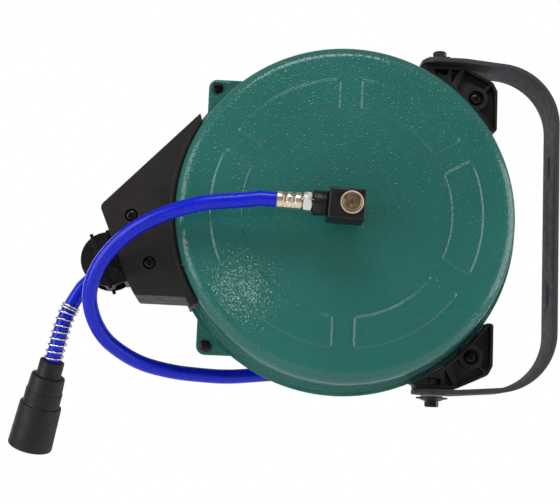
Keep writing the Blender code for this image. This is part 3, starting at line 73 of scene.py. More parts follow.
def makeCamera():
    az, el, roll = (math.radians(studio[k]) for k in ("azimuth", "elevation", "roll"))
    forward = Vector((math.sin(az) * math.cos(el), math.cos(az) * math.cos(el), math.sin(el)))
    right = Vector((math.cos(az), -math.sin(az), 0))
    above = right.cross(forward)
    side = right * math.cos(roll) + above * math.sin(roll)
    top = above * math.cos(roll) - right * math.sin(roll)
    turn = Matrix((side, top, -forward)).transposed().to_4x4()
    data = bpy.data.cameras.new("photoCamera")
    data.lens = studio["lens"]
    data.sensor_width = studio["sensor"]
    camera = newObject("photoCamera", data)
    camera.matrix_world = Matrix.Translation(studio["cameraPlace"]) @ turn
    bpy.context.scene.camera = camera


def makeLights():
    for name, (place, aim, size, power) in lights.items():
        data = bpy.data.lights.new(name, "AREA")
        data.shape = "RECTANGLE"
        data.size, data.size_y = size
        data.energy = power
        light = newObject(name, data)
        light.location = place
        light.rotation_euler = (Vector(aim) - Vector(place)).to_track_quat("-Z", "Y").to_euler()
        light.visible_camera = False


def makeWorld():
    world = bpy.data.worlds.new("paleRoom")
    world.use_nodes = True
    nodes, links = world.node_tree.nodes, world.node_tree.links
    room = nodes["Background"]
    room.inputs["Color"].default_value = white
    room.inputs["Strength"].default_value = studio["roomLight"]
    backdrop = nodes.new("ShaderNodeBackground")
    backdrop.inputs["Color"].default_value = white
    backdrop.inputs["Strength"].default_value = studio["backdrop"]
    seen, mix = nodes.new("ShaderNodeLightPath"), nodes.new("ShaderNodeMixShader")
    links.new(seen.outputs["Is Camera Ray"], mix.inputs["Fac"])
    links.new(room.outputs["Background"], mix.inputs[1])
    links.new(backdrop.outputs["Background"], mix.inputs[2])
    links.new(mix.outputs["Shader"], nodes["World Output"].inputs["Surface"])
    bpy.context.scene.world = world
    bpy.context.scene.view_settings.view_transform = "Standard"


def makeFloor():
    bm = bmesh.new()
    bmesh.ops.create_grid(bm, x_segments=1, y_segments=1, size=studio["floorHalf"])
    bmesh.ops.translate(bm, vec=(0, 0, studio["floorHeight"]), verts=bm.verts)
    mesh = bpy.data.meshes.new("floor")
    bm.to_mesh(mesh)
    bm.free()
    floor = newObject("floor", mesh)
    pale = bpy.data.materials.new("paleFloor")
    pale.use_nodes = True
    sockets = pale.node_tree.nodes["Principled BSDF"].inputs
    sockets["Base Color"].default_value = studio["floorColour"]
    sockets["Roughness"].default_value = studio["floorRoughness"]
    mesh.materials.append(pale)


makeCamera()
makeWorld()
makeFloor()
makeLights()
print("camera and studio ready")


# Finishes

noiseSpan = (0.35, 0.65)           # where nearly all values of a noise lie
brassRings = 4400                  # turning marks on the brass, in radians a metre


def srgb(r, g, b):
    def linear(c):
        c /= 255
        return c / 12.92 if c <= 0.04045 else ((c + 0.055) / 1.055) ** 2.4
    return linear(r), linear(g), linear(b), 1


class Finish:
    def __init__(self, name, roughness, metallic=0.0, **sockets):
        self.material = bpy.data.materials.new(name)
        self.material.use_nodes = True
        self.tree = self.material.node_tree
        self.shader = self.tree.nodes["Principled BSDF"]
        self.shader.inputs["Roughness"].default_value = roughness
        self.shader.inputs["Metallic"].default_value = metallic
        for key, value in sockets.items():
            self.shader.inputs[key.replace("_", " ")].default_value = value
        self.place = self.node("ShaderNodeTexCoord").outputs["Object"]
        self.bump = None

    def node(self, kind, **values):
        item = self.tree.nodes.new(kind)
        for key, value in values.items():
            if hasattr(item, key):
                setattr(item, key, value)
            else:
                item.inputs[key].default_value = value
        return item

    def link(self, a, b):
        self.tree.links.new(a, b)

    def noise(self, scale, detail, roughness=0.5, stretch=None):
        item = self.node("ShaderNodeTexNoise", Scale=scale, Detail=detail)
        item.inputs["Roughness"].default_value = roughness
        place = self.place
        if stretch:
            mapping = self.node("ShaderNodeMapping")
            mapping.inputs["Scale"].default_value = stretch
            self.link(place, mapping.inputs["Vector"])
            place = mapping.outputs["Vector"]
        self.link(place, item.inputs["Vector"])
        return item.outputs["Fac"]

    def ramp(self, fac, stops):
        item = self.node("ShaderNodeValToRGB")
        bar = item.color_ramp
        while len(bar.elements) < len(stops):
            bar.elements.new(0.5)
        for element, (where, colour) in zip(bar.elements, stops):
            element.position = where
            element.color = colour
        self.link(fac, item.inputs["Fac"])
        return item.outputs["Color"]

    def colour(self, fac, *stops):
        self.link(self.ramp(fac, stops), self.shader.inputs["Base Color"])

    def rough(self, fac, low, high):
        item = self.node("ShaderNodeMapRange")
        names = ("From Min", "From Max", "To Min", "To Max")
        for key, value in zip(names, (*noiseSpan, low, high)):
            item.inputs[key].default_value = value
        self.link(fac, item.inputs["Value"])
        self.link(item.outputs["Result"], self.shader.inputs["Roughness"])

    def height(self, fac, distance, strength):
        item = self.node("ShaderNodeBump", Strength=strength, Distance=distance)
        self.link(fac, item.inputs["Height"])
        if self.bump:
            self.link(self.bump, item.inputs["Normal"])
        self.bump = item.outputs["Normal"]
        self.link(self.bump, self.shader.inputs["Normal"])
        self.link(self.bump, self.shader.inputs["Coat Normal"])


def hammeredEnamel():
    f = Finish("hammeredEnamel", 0.34, Coat_Weight=0.7, Coat_Roughness=0.04,
               Specular_IOR_Level=0.05)
    f.colour(f.noise(9, 3), (0.3, srgb(28, 88, 81)), (0.55, srgb(32, 95, 87)),
             (0.8, srgb(38, 103, 95)))
    f.rough(f.noise(260, 2), 0.3, 0.44)
    pits = f.ramp(f.noise(520, 1), ((0.55, black), (0.75, white)))
    f.height(pits, 0.0006, 0.38)
    f.height(f.noise(640, 1.5, 0.4), 0.0008, 0.07)
    return f.material


def coatedStrap():
    f = Finish("coatedStrap", 0.5)
    f.colour(f.noise(12, 2), (0.3, srgb(38, 31, 39)), (0.7, srgb(45, 37, 47)))
    f.rough(f.noise(160, 2), 0.5, 0.66)
    f.height(f.noise(1400, 2), 0.0001, 0.4)
    return f.material


def mouldedPlastic(name, dark, light, low=0.4, high=0.56, grain=1700):
    f = Finish(name, 0.5, Specular_IOR_Level=0.3)
    f.colour(f.noise(25, 3), (0.3, dark), (0.7, light))
    f.rough(f.noise(120, 2), low, high)
    f.height(f.noise(grain, 2), 0.00007, 0.5)
    return f.material


def platedMetal(name, dark, light, low, high, stretch=None):
    f = Finish(name, 0.3, 1.0)
    f.colour(f.noise(60, 3), (0.3, dark), (0.7, light))
    f.rough(f.noise(270, 2, stretch=stretch), low, high)
    f.height(f.noise(900, 2, stretch=stretch), 0.00004, 0.35)
    return f.material


def glossyHose():
    f = Finish("blueHose", 0.28, Specular_IOR_Level=0.28)
    f.colour(f.noise(16, 2), (0.3, srgb(3, 21, 172)), (0.7, srgb(8, 28, 190)))
    f.rough(f.noise(90, 2), 0.22, 0.32)
    f.height(f.noise(420, 2), 0.00008, 0.4)
    return f.material


def turnedBrass():
    f = Finish("turnedBrass", 0.36, 1.0)
    # Turning marks: rings around the reel axis
    flat = f.node("ShaderNodeVectorMath", operation="MULTIPLY_ADD")
    f.link(f.place, flat.inputs[0])
    flat.inputs[1].default_value = (1, 0, 1)
    flat.inputs[2].default_value = (-reelX, 0, 0)
    reach = f.node("ShaderNodeVectorMath", operation="LENGTH")
    f.link(flat.outputs["Vector"], reach.inputs[0])
    rings = f.node("ShaderNodeMath", operation="SINE")
    scale = f.node("ShaderNodeMath", operation="MULTIPLY")
    f.link(reach.outputs["Value"], scale.inputs[0])
    scale.inputs[1].default_value = brassRings
    f.link(scale.outputs["Value"], rings.inputs[0])
    f.colour(f.noise(240, 3), (0.3, srgb(112, 92, 68)), (0.7, srgb(140, 118, 90)))
    f.rough(f.noise(300, 2), 0.3, 0.45)
    f.height(rings.outputs["Value"], 0.00006, 0.6)
    return f.material


enamel = hammeredEnamel()
strapCoat = coatedStrap()
blackPlastic = mouldedPlastic("blackPlastic", srgb(12, 11, 9), srgb(18, 16, 14))
guideBlack = mouldedPlastic("guideBlack", srgb(23, 19, 17), srgb(30, 26, 23), 0.45, 0.6, 1300)
cageBlack = mouldedPlastic("cageBlack", srgb(5, 4, 5), srgb(10, 9, 10), 0.3, 0.42)
bootRubber = mouldedPlastic("bootRubber", srgb(13, 9, 8), srgb(19, 14, 13), 0.46, 0.62, 1100)
blockBlack = mouldedPlastic("blockBlack", srgb(14, 14, 14), srgb(20, 19, 19), 0.32, 0.48, 2200)
drumGrey = mouldedPlastic("drumGrey", srgb(70, 70, 72), srgb(88, 88, 90))
nylonWhite = mouldedPlastic("nylonWhite", srgb(205, 201, 190), srgb(224, 221, 212), 0.3, 0.45)
zincPlate = platedMetal("zincPlate", srgb(186, 184, 180), srgb(226, 224, 220), 0.16, 0.32)
boltSteel = platedMetal("boltSteel", srgb(50, 47, 41), srgb(74, 70, 62), 0.38, 0.55)
screwBlack = platedMetal("screwBlack", srgb(32, 29, 28), srgb(56, 51, 49), 0.3, 0.45)
ringSteel = platedMetal("ringSteel", srgb(188, 176, 162), srgb(214, 202, 188), 0.5, 0.62)
paleBrass = platedMetal("paleBrass", srgb(206, 192, 170), srgb(232, 220, 200), 0.2, 0.34)
springSteel = platedMetal("springSteel", srgb(92, 94, 100), srgb(126, 128, 132), 0.28, 0.42,
                          (1, 12, 1))
brassFace = turnedBrass()
hoseBlue = glossyHose()
print("finishes ready")


# Shape helpers

def addPiece(name, bm, material, body, stands, crease, recalc=True):
    if recalc:
        bmesh.ops.recalc_face_normals(bm, faces=bm.faces)
    mesh = bpy.data.meshes.new(name)
    bm.to_mesh(mesh)
    bm.free()
    mesh.materials.append(material)
    mesh.shade_smooth()
    mesh.set_sharp_from_angle(angle=math.radians(crease))
    piece = newObject(name, mesh)
    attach(piece, body)
    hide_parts(*stands)
    return piece


def spinShape(profile, steps, closed=False):
    bm = bmesh.new()
    ring = [bm.verts.new((r * mm, 0, h * mm)) for r, h in profile]
    edges = [bm.edges.new(pair) for pair in zip(ring, ring[1:])]
    if closed:
        edges.append(bm.edges.new((ring[-1], ring[0])))
    bmesh.ops.spin(bm, geom=ring + edges, cent=(0, 0, 0), axis=(0, 0, 1), dvec=(0, 0, 0),
                   angle=2 * math.pi, steps=steps, space=Matrix(), use_merge=True,
                   use_normal_flip=False, use_duplicate=False)
    bmesh.ops.remove_doubles(bm, verts=bm.verts, dist=1e-6)
    bmesh.ops.recalc_face_normals(bm, faces=bm.faces)
    return bm


def finalMesh(item):
    bpy.context.view_layer.update()
    graph = bpy.context.evaluated_depsgraph_get()
    return bpy.data.meshes.new_from_object(item.evaluated_get(graph))


def mergeFlat(bm, angle):
    bmesh.ops.dissolve_limit(bm, angle_limit=math.radians(angle), verts=bm.verts, edges=bm.edges)


def flatShape(loops, low, high):
    curve = bpy.data.curves.new("outline", "CURVE")
    curve.dimensions = "2D"
    curve.fill_mode = "BOTH"
    curve.extrude = (high - low) / 2
    for loop in loops:
        spline = curve.splines.new("POLY")
        spline.points.add(len(loop) - 1)
        for point, (u, v) in zip(spline.points, loop):
            point.co = (u, v, 0, 1)
        spline.use_cyclic_u = True
    holder = newObject("outline", curve)
    mesh = finalMesh(holder)
    bpy.data.objects.remove(holder)
    bpy.data.curves.remove(curve)
    bm = bmesh.new()
    bm.from_mesh(mesh)
    bpy.data.meshes.remove(mesh)
    bmesh.ops.remove_doubles(bm, verts=bm.verts, dist=1e-6)
    mergeFlat(bm, 1)
    bmesh.ops.translate(bm, vec=(0, 0, (low + high) / 2), verts=bm.verts)
    return bm


def joinShapes(first, *others):
    for other in others:
        mesh = bpy.data.meshes.new("joined")
        other.to_mesh(mesh)
        other.free()
        first.from_mesh(mesh)
        bpy.data.meshes.remove(mesh)
    return first


alongY = Matrix.Rotation(math.pi / 2, 4, "X")          # local z to -y, local y to z
backwards = Matrix.Rotation(-math.pi / 2, 4, "X")      # local z to y, local y to -z


def placed(bm, matrix, place=(0, 0, 0)):
    bmesh.ops.transform(bm, matrix=Matrix.Translation(place) @ matrix, verts=bm.verts)
    return bm


def bevelEdges(bm, width, segments, angle):
    bm.normal_update()
    least = math.radians(angle)
    sharp = [e for e in bm.edges if len(e.link_faces) == 2 and e.calc_face_angle() > least]
    bmesh.ops.bevel(bm, geom=sharp, offset=width, offset_type="OFFSET", segments=segments,
                    profile=0.5, affect="EDGES", clamp_overlap=True, material=-1)


def heldShape(bm):
    mesh = bpy.data.meshes.new("held")
    bmesh.ops.recalc_face_normals(bm, faces=bm.faces)
    bm.to_mesh(mesh)
    bm.free()
    return newObject("held", mesh)


def carveShape(bm, tools, operation):
    base, *held = [heldShape(shape) for shape in (bm, *tools)]
    for tool in held:
        step = base.modifiers.new("carve", "BOOLEAN")
        step.operation = operation
        step.object = tool
        step.solver = "EXACT"
    meshes = [finalMesh(base)] + [item.data for item in (base, *held)]
    result = bmesh.new()
    result.from_mesh(meshes[0])
    for item in (base, *held):
        bpy.data.objects.remove(item)
    for mesh in meshes:
        bpy.data.meshes.remove(mesh)
    return result


def cutShape(bm, *tools):
    return carveShape(bm, tools, "DIFFERENCE")


def meetShapes(bm, other):
    return carveShape(bm, (other,), "INTERSECT")


softEdge = {"merge": 2e-6, "flat": 0.5, "crease": 35, "segments": 2, "angle": 28}


def softNode(node, name, material, body, width):
    bm = bmesh.new()
    bm.from_mesh(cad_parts[node].data)
    bmesh.ops.remove_doubles(bm, verts=bm.verts, dist=softEdge["merge"])
    mergeFlat(bm, softEdge["flat"])
    piece = addPiece(name, bm, material, body, (node,), softEdge["crease"], recalc=False)
    edge = piece.modifiers.new("softEdges", "BEVEL")
    edge.width = width * mm
    edge.segments = softEdge["segments"]
    edge.limit_method = "ANGLE"
    edge.angle_limit = math.radians(softEdge["angle"])
    edge.miter_outer = "MITER_ARC"
    edge.harden_normals = False
    return piece


def arcPoints(radius, start, end, count, u=0.0, v=0.0):
    angles = [math.radians(start + (end - start) * i / count) for i in range(count + 1)]
    return [(u + radius * math.cos(a), v + radius * math.sin(a)) for a in angles]


def onCircle(radius, angle):
    return arcPoints(radius, angle, angle, 1)[0]


def circlePoints(radius, count, u=0.0, v=0.0):
    return arcPoints(radius, 0, 360, count, u, v)[:-1]


def roundedPoints(corners, steps):
    outline = []
    for i, (u, v, radius) in enumerate(corners):
        here = Vector((u, v))
        if not radius:
            outline.append((u, v))
            continue
        back = (Vector(corners[i - 1][:2]) - here).normalized()
        onward = (Vector(corners[(i + 1) % len(corners)][:2]) - here).normalized()
        half = back.angle(onward) / 2
        middle = here + (back + onward).normalized() * (radius / math.sin(half))
        first = here + back * (radius / math.tan(half)) - middle
        last = here + onward * (radius / math.tan(half)) - middle
        start = math.atan2(first.y, first.x)
        sweep = (math.atan2(last.y, last.x) - start + math.pi) % math.tau - math.pi
        for k in range(steps + 1):
            a = start + sweep * k / steps
            outline.append((middle.x + radius * math.cos(a), middle.y + radius * math.sin(a)))
    return outline


# Hoses: the same routes as the solids

hoses = {
    "radius": 6.0, "gap": 0.3, "perTurn": 72, "spacing": 4, "freeSpacing": 3, "knotSteps": 20,
    "windingRadius": 106.0, "pitch": 12.5, "turns": 4, "outlet": (-186.9, 0, -42.3),
    "leadAhead": 46, "leadSide": 1.5, "leadShare": 0.68, "leadBefore": 14, "leadOutEnd": 17.7,
    "outletKnots": ((-27.3, 0, -33.3), (-34.1, 1.2, -48.7)),
    "bootTop": (-42.3, 9.4, -81.1), "bootHeading": 256.1, "bootLean": 18, "inBoot": 25.5,
    "coilRadius": 67.5, "coilPitch": 14.0, "coilTurns": 1.35, "coilHeight": -54.7,
    "coilStart": 58.5,
    "inletTilt": 2.0, "inletMiddle": -74.5, "ferruleEnd": 56.5, "inletAhead": 12.3,
    "supply": ((-84.4, -73, 0.3), (-115.4, -69, -3.4), (-147.6, -61, -13.7), (-171.7, -52, -28.2),
               (-190.2, -43, -48.7), (-198.1, -33, -69.4), (-196.4, -22, -87), (-188.5, -9, -102.4),
               (-176.1, 3, -113), (-157.7, 15, -122), (-134.2, 26, -126.9), (-110.4, 36, -128.5),
               (-85.5, 45, -128.3), (-52, 54.5, -124.4)),
}


def smoothRoute(knots, spacing):
    fine, steps = [], hoses["knotSteps"]
    for i in range(len(knots) - 1):
        a, b = knots[i], knots[i + 1]
        before = knots[i - 1] if i else 2 * a - b
        after = knots[i + 2] if i + 2 < len(knots) else 2 * b - a
        for k in range(steps):
            t = k / steps
            bend = 2 * before - 5 * a + 4 * b - after
            fine.append(0.5 * (2 * a + (b - before) * t + bend * t ** 2
                               + (3 * a - before - 3 * b + after) * t ** 3))
    fine.append(knots[-1])
    return evenRoute(fine, spacing)


def evenRoute(line, spacing):
    lengths = [0.0]
    for a, b in zip(line, line[1:]):
        lengths.append(lengths[-1] + (b - a).length)
    count = max(2, round(lengths[-1] / spacing))
    points, k = [], 0
    for i in range(count + 1):
        want = lengths[-1] * i / count
        while k < len(line) - 2 and lengths[k + 1] < want:
            k += 1
        share = (want - lengths[k]) / (lengths[k + 1] - lengths[k])
        points.append(line[k].lerp(line[k + 1], share))
    return points


def routeLength(points):
    return sum((b - a).length for a, b in zip(points, points[1:]))


def hoseTube(name, points, radius, material, body, stands, sides=5):
    curve = bpy.data.curves.new(name, "CURVE")
    curve.dimensions = "3D"
    curve.bevel_depth = radius
    curve.bevel_resolution = sides
    curve.use_fill_caps = True
    spline = curve.splines.new("POLY")
    spline.points.add(len(points) - 1)
    for point, place in zip(spline.points, points):
        point.co = (*place, 1)
    spline.use_smooth = True
    curve.materials.append(material)
    piece = newObject(name, curve)
    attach(piece, body)
    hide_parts(*stands)
    return piece


def windRoute(radius, pitch, turns, start, startY, count, height=0.0):
    total = round(turns * count)
    points = []
    for i in range(total + 1):
        share = i / total
        a = math.radians(start + 360 * turns * share)
        points.append(reelPoint(radius * math.cos(a), startY + pitch * turns * share,
                                height + radius * math.sin(a)))
    return points


def inletPlace(reach):
    a = math.radians(hoses["inletTilt"])
    return reelPoint(-reach * math.cos(a), hoses["inletMiddle"], reach * math.sin(a))


def hoseLine():
    x, _, z = hoses["outlet"]
    start = math.degrees(math.atan2(z, x)) % 360
    start -= math.degrees(math.acos(hoses["windingRadius"] / math.hypot(x, z)))
    a = math.radians(start + 90)
    return reelPoint(x, 0, z), Vector((math.cos(a), 0, math.sin(a))), start


def makeWoundHose():
    h = hoses
    outlet, run, tangent = hoseLine()
    radius, straight = h["radius"] * mm, 2 * h["radius"] * mm
    line = windRoute(h["windingRadius"], h["pitch"], h["turns"], tangent - 360 * h["turns"],
                     -h["pitch"] * h["turns"] / 2, h["perTurn"])
    first = line[0] - line[1]
    first.y = 0
    line = [line[0] + first.normalized() * straight] + line + [line[-1] + run * straight]
    hoseTube("woundHose", line, radius, hoseBlue, "drum", ("hose_winding",))
    start = line[-1] + run * h["gap"] * mm
    before, stop = outlet - run * h["leadBefore"] * mm, outlet + run * h["leadOutEnd"] * mm
    bow = start + run * h["leadAhead"] * mm - Vector((0, h["leadSide"] * mm, 0))
    knots = [start + run * straight, bow, start.lerp(before, h["leadShare"]), before, outlet, stop]
    hoseTube("hoseToOutlet", [start] + smoothRoute(knots, h["spacing"] * mm), radius, hoseBlue,
             "reel_case", ("hose_lead_out",))
    return stop + run * h["gap"] * mm


def makeOutletHose(meet):
    h = hoses
    outlet, run, _ = hoseLine()
    heading, lean = math.radians(h["bootHeading"]), math.radians(h["bootLean"])
    level = math.cos(lean)
    down = Vector((level * math.cos(heading), math.sin(lean), level * math.sin(heading)))
    top = outlet + Vector(h["bootTop"]) * mm
    straight, inside = 2 * h["radius"] * mm, h["inBoot"]
    knots = [meet + run * straight] + [outlet + Vector(k) * mm for k in h["outletKnots"]]
    knots += [top - down * straight, top, top + down * inside * mm / 2, top + down * inside * mm]
    free = [meet] + smoothRoute(knots, h["freeSpacing"] * mm)
    piece = hoseTube("outletHose", free, h["radius"] * mm, hoseBlue, "reel_case",
                     ("outlet_hose",), 7)
    return piece, free, smoothRoute(knots, mm), top, down


def makeLeadIn():
    h = hoses
    straight = 2 * h["radius"] * mm
    coil = windRoute(h["coilRadius"], h["coilPitch"], h["coilTurns"], -90, h["coilStart"],
                     h["perTurn"], h["coilHeight"])
    side = Vector((-straight, 0, 0))
    coil = [coil[0] + side] + coil
    coil.append(coil[-1] + (coil[-1] - coil[-2]).normalized() * straight)
    start, onward = (inletPlace(h["ferruleEnd"] + h[k]) for k in ("gap", "inletAhead"))
    meet = coil[0] + Vector((-h["gap"] * mm, 0, 0)) + side
    knots = [onward] + [reelPoint(*k) for k in h["supply"]] + [meet]
    whole = [start] + smoothRoute(knots, h["spacing"] * mm) + coil
    piece = hoseTube("leadInHose", whole, h["radius"] * mm, hoseBlue, "reel_case",
                     ("inlet_hose", "inlet_hose_coil"), 7)
    return piece, whole


outletHose, outletRoute, outletFine, bootTop, bootDown = makeOutletHose(makeWoundHose())
leadIn, leadInRoute = makeLeadIn()
print("hoses ready", round(routeLength(leadInRoute), 4), round(routeLength(outletRoute), 4))


# Wall strap

strap = {
    "innerHalf": 134, "thickness": 4, "width": 40, "bend": 50, "tip": -113.3, "tipCorner": 14,
    "level": -79.3, "slope": 5, "slotLength": 20, "slotWidth": 9, "slotSpacing": 53,
    "pivot": -97.3, "hole": 5.1, "edge": 0.7, "through": 150, "slotFrom": -12, "slotTo": 4,
}


def makeStrap():
    s = {k: v * mm for k, v in strap.items()}
    outer, bend, tip, level = s["innerHalf"] + s["thickness"], s["bend"], s["tip"], s["level"]
    inner, slope = bend - s["thickness"], math.radians(strap["slope"])
    bent = 90 - strap["slope"]
    drop = (bend * math.sin(slope) - bend - level) * math.tan(slope)
    middle = outer - drop - bend * math.cos(slope)
    outline = [(tip, outer), (level, outer)] + arcPoints(bend, bent, 0, 20, -bend, middle)
    outline += arcPoints(bend, 0, -bent, 20, -bend, -middle) + [(level, -outer), (tip, -outer)]
    outline += [(tip, -s["innerHalf"]), (level, -s["innerHalf"])]
    outline += arcPoints(inner, -bent, 0, 20, -bend, -middle)
    outline += arcPoints(inner, 0, bent, 20, -bend, middle)
    outline += [(level, s["innerHalf"]), (tip, s["innerHalf"])]
    half = s["width"] / 2
    band = placed(flatShape([outline], -half, half), alongY)
    corner = s["tipCorner"]
    start = tip + corner
    shape = [(tip - corner, -2 * half), (start, -2 * half)]
    shape += arcPoints(corner, 270, 180, 12, start, corner - half)
    shape += arcPoints(corner, 180, 90, 12, start, half - corner)
    shape += [(start, 2 * half), (tip - corner, 2 * half)]
    hole = circlePoints(s["hole"], 32, s["pivot"])
    tools = [flatShape([loop], -s["through"], s["through"]) for loop in (shape, hole)]
    radius, straight = s["slotWidth"] / 2, (s["slotLength"] - s["slotWidth"]) / 2
    for middle in (s["slotSpacing"], -s["slotSpacing"]):
        slot = arcPoints(radius, 0, 180, 12, 0, middle + straight)
        slot += arcPoints(radius, 180, 360, 12, 0, middle - straight)
        tools.append(placed(flatShape([slot], s["slotFrom"], s["slotTo"]),
                            Matrix.Rotation(math.pi / 2, 4, "Z") @ alongY))
    band = cutShape(band, *tools)
    mergeFlat(band, 0.5)
    bevelEdges(band, s["edge"], 3, 40)
    addPiece("bentStrap", band, strapCoat, "wall_bracket", ("wall_strap",), 30)


# Case covers

case = {
    "radius": 135, "half": 48, "edge": 11, "sheet": 1.5, "step": 139.5, "stepHeight": 5, "lip": 0.6,
    "joint": 0.15, "flange": 142.6, "ear": 114, "earCorner": 7, "earRun": 0.15, "screw": 107,
    "screwHole": 2.7, "rimInset": 0.5, "rimEdge": 0.3,
    # Small roundings of the section: wall to step, edge of the step, step to flange
    "fillet": ((0, 1.6), (0.4, 0.6), (1.3, 0.05)), "brow": ((-1.0, 0), (-0.3, -0.3), (0, -1.0)),
    "toe": ((0, 0.7), (0.3, 0.1)), "seat": 0.05,
    # The guide stands in a gap of the rim and in a window of the wall
    "spike": 147.2, "foot": 212.5,
    "gapMargin": 0.6, "gapInner": 0.12, "gapOuter": 170, "gapDepth": 3,
    "windowMargin": 3, "windowInner": 120, "windowOuter": 160, "windowHalf": 30,
}
pads = {
    "inner": 82, "outer": 108.4, "gap": 15.4, "sunk": 0.4, "firstCorner": 4, "corner": 3,
    "outerMargin": 3, "innerMargin": 4,
    # Each inset of the face and its rise
    "steps": ((0.02, 0.4), (0.25, 0.06), (0.5, 0.3), (0.6, 0.45), (0.5, 0.3), (0.3, 0.06),
              (0.4, 0)),
}


def coverPan(side, hole):
    c = case
    bend, sheet, low, step, height = c["edge"], c["sheet"], c["joint"], c["step"], c["stepHeight"]
    centreR, centreH, inner = c["radius"] - bend, c["half"] - bend, bend - sheet
    profile = [(hole, c["half"]), (centreR - c["lip"], c["half"])]
    profile += arcPoints(bend, 90, 0, 10, centreR, centreH)
    profile += [(c["radius"] + u, height + v) for u, v in c["fillet"]]
    profile += [(step + u, height + v) for u, v in c["brow"]]
    profile += [(step + u, low + sheet + v) for u, v in c["toe"]]
    profile += [(step + c["lip"], low + sheet), (step + c["lip"], low + c["seat"]),
                (step - sheet, low + c["seat"]), (step - sheet, height - sheet),
                (c["radius"] - sheet, height - sheet), (c["radius"] - sheet, centreH)]
    profile += arcPoints(inner, 18, 90, 4, centreR, centreH)
    profile.append((hole, c["half"] - sheet))
    return placed(spinShape(profile, 144, closed=True), alongY if side < 0 else backwards)


def flangeOutline():
    c = case
    ear, run = c["ear"], c["ear"] * c["earRun"]
    rim = math.degrees(math.acos(ear / c["flange"]))
    points = []
    for turn in (0, 90, 180, 270):
        points += arcPoints(c["flange"] * mm, turn - rim, turn + rim, 30)
        first, second = Vector(onCircle(1, turn)), Vector(onCircle(1, turn + 90))
        corner = (first + second) * ear * mm
        before, after = corner - second * run * mm, corner - first * run * mm
        points += roundedPoints([(*before, 0), (*corner, c["earCorner"] * mm), (*after, 0)], 8)
    return points


def padShapes():
    p = pads
    bm = bmesh.new()
    far, near, rounding = p["outer"] * mm, p["inner"] * mm, p["corner"] * mm
    inner, outer = (30 - math.degrees(math.asin(p["gap"] / 2 / p[k])) for k in ("inner", "outer"))
    for middle in range(0, 360, 60):
        start, stop, margin = middle - outer, middle + outer, p["outerMargin"]
        corners = [(*onCircle(far, start), p["firstCorner"] * mm)]
        corners += [(u, v, 0) for u, v in arcPoints(far, start + margin, stop - margin, 22)]
        corners.append((*onCircle(far, stop), rounding))
        start, stop, margin = middle + inner, middle - inner, p["innerMargin"]
        corners.append((*onCircle(near, start), rounding))
        corners += [(u, v, 0) for u, v in arcPoints(near, start - margin, stop + margin, 16)]
        corners.append((*onCircle(near, stop), rounding))
        outline = roundedPoints(corners, 5)
        face = bm.faces.new([bm.verts.new((u, v, -p["sunk"] * mm)) for u, v in outline])
        face.normal_update()
        if face.normal.z < 0:
            face.normal_flip()
        for thickness, depth in p["steps"]:
            bmesh.ops.inset_region(bm, faces=[face], thickness=thickness * mm, depth=depth * mm,
                                   use_boundary=True, use_even_offset=True)
    return bm


def sectorShape(inner, outer, start, end, steps, outerSteps, half):
    loop = arcPoints(inner, start, end, steps) + arcPoints(outer, end, start, outerSteps)
    return placed(flatShape([loop], -half, half), alongY)


def makeCover(name, side, hole, node):
    c = case
    spike, foot, margin, more = c["spike"], c["foot"], c["gapMargin"], c["windowMargin"]

    def gap():
        return sectorShape((c["radius"] + c["gapInner"]) * mm, c["gapOuter"] * mm, spike - margin,
                           foot + margin, 60, 20, (c["stepHeight"] + c["gapDepth"]) * mm)

    window = sectorShape(c["windowInner"] * mm, c["windowOuter"] * mm, spike + more, foot - more,
                         30, 30, c["windowHalf"] * mm)
    pan = cutShape(coverPan(side, hole), gap(), window)
    loops = [flangeOutline(), circlePoints((c["step"] - c["rimInset"]) * mm, 144)]
    loops += [circlePoints(c["screwHole"] * mm, 24, u * c["screw"] * mm, v * c["screw"] * mm)
              for u in (-1, 1) for v in (-1, 1)]
    low, high = sorted((-side * c["joint"] * mm, -side * (c["joint"] + c["sheet"]) * mm))
    rim = cutShape(placed(flatShape(loops, low, high), alongY), gap())
    mergeFlat(rim, 0.5)
    bevelEdges(rim, c["rimEdge"] * mm, 2, 50)
    shapes = [rim]
    if side < 0:
        shapes.append(placed(padShapes(), alongY, (0, -c["half"] * mm, 0)))
    whole = placed(joinShapes(pan, *shapes), Matrix(), (reelX, 0, 0))
    addPiece(name, whole, enamel, "reel_case", (node,), 32, recalc=False)


makeStrap()
makeCover("frontShell", -1, 9.9, "front_cover")
makeCover("rearShell", 1, 6.8, "rear_cover")
print("strap and case ready")


# Moulded corner brackets, hose guide and roller cage

# Each rear edge: its reach from the reel axis, the nearer one it gets, and where it begins
rearEdges = {"corner": (143.6, 142.7, 11), "guide": (135.4, 135.05, 31), "slack": 0.2}


def drawNearer(piece, edge):
    # The rear edge lies nearer to the case, so that no light shows past it
    held, closed, behind = rearEdges[edge]
    for v in piece.data.vertices:
        reach = math.hypot(v.co.x - reelX, v.co.z) / mm
        if abs(reach - held) < rearEdges["slack"] and v.co.y > behind * mm:
            v.co.x = reelX + (v.co.x - reelX) * closed / reach
            v.co.z *= closed / reach


for side in ("upper", "lower"):
    corner = softNode(f"corner_bracket_{side}", f"{side}Corner", blackPlastic, "reel_case", 0.5)
    drawNearer(corner, "corner")
softNode("guide_front", "guideFront", guideBlack, "reel_case", 0.6)
drawNearer(softNode("guide_rear", "guideRear", guideBlack, "reel_case", 0.6), "guide")
softNode("roller_cage", "rollerCage", cageBlack, "reel_case", 0.5)
softNode("inlet_block", "inletBlock", blockBlack, "reel_case", 0.3)
softNode("spindle", "turnedSpindle", brassFace, "drum", 0.2)
print("mouldings ready")


# Turned metal and rubber pieces

hexRatio = 1 / math.cos(math.pi / 6)


def frameOf(place, direction):
    turn = Vector(direction).to_track_quat("Z", "Y").to_matrix().to_4x4()
    return Matrix.Translation(place) @ turn


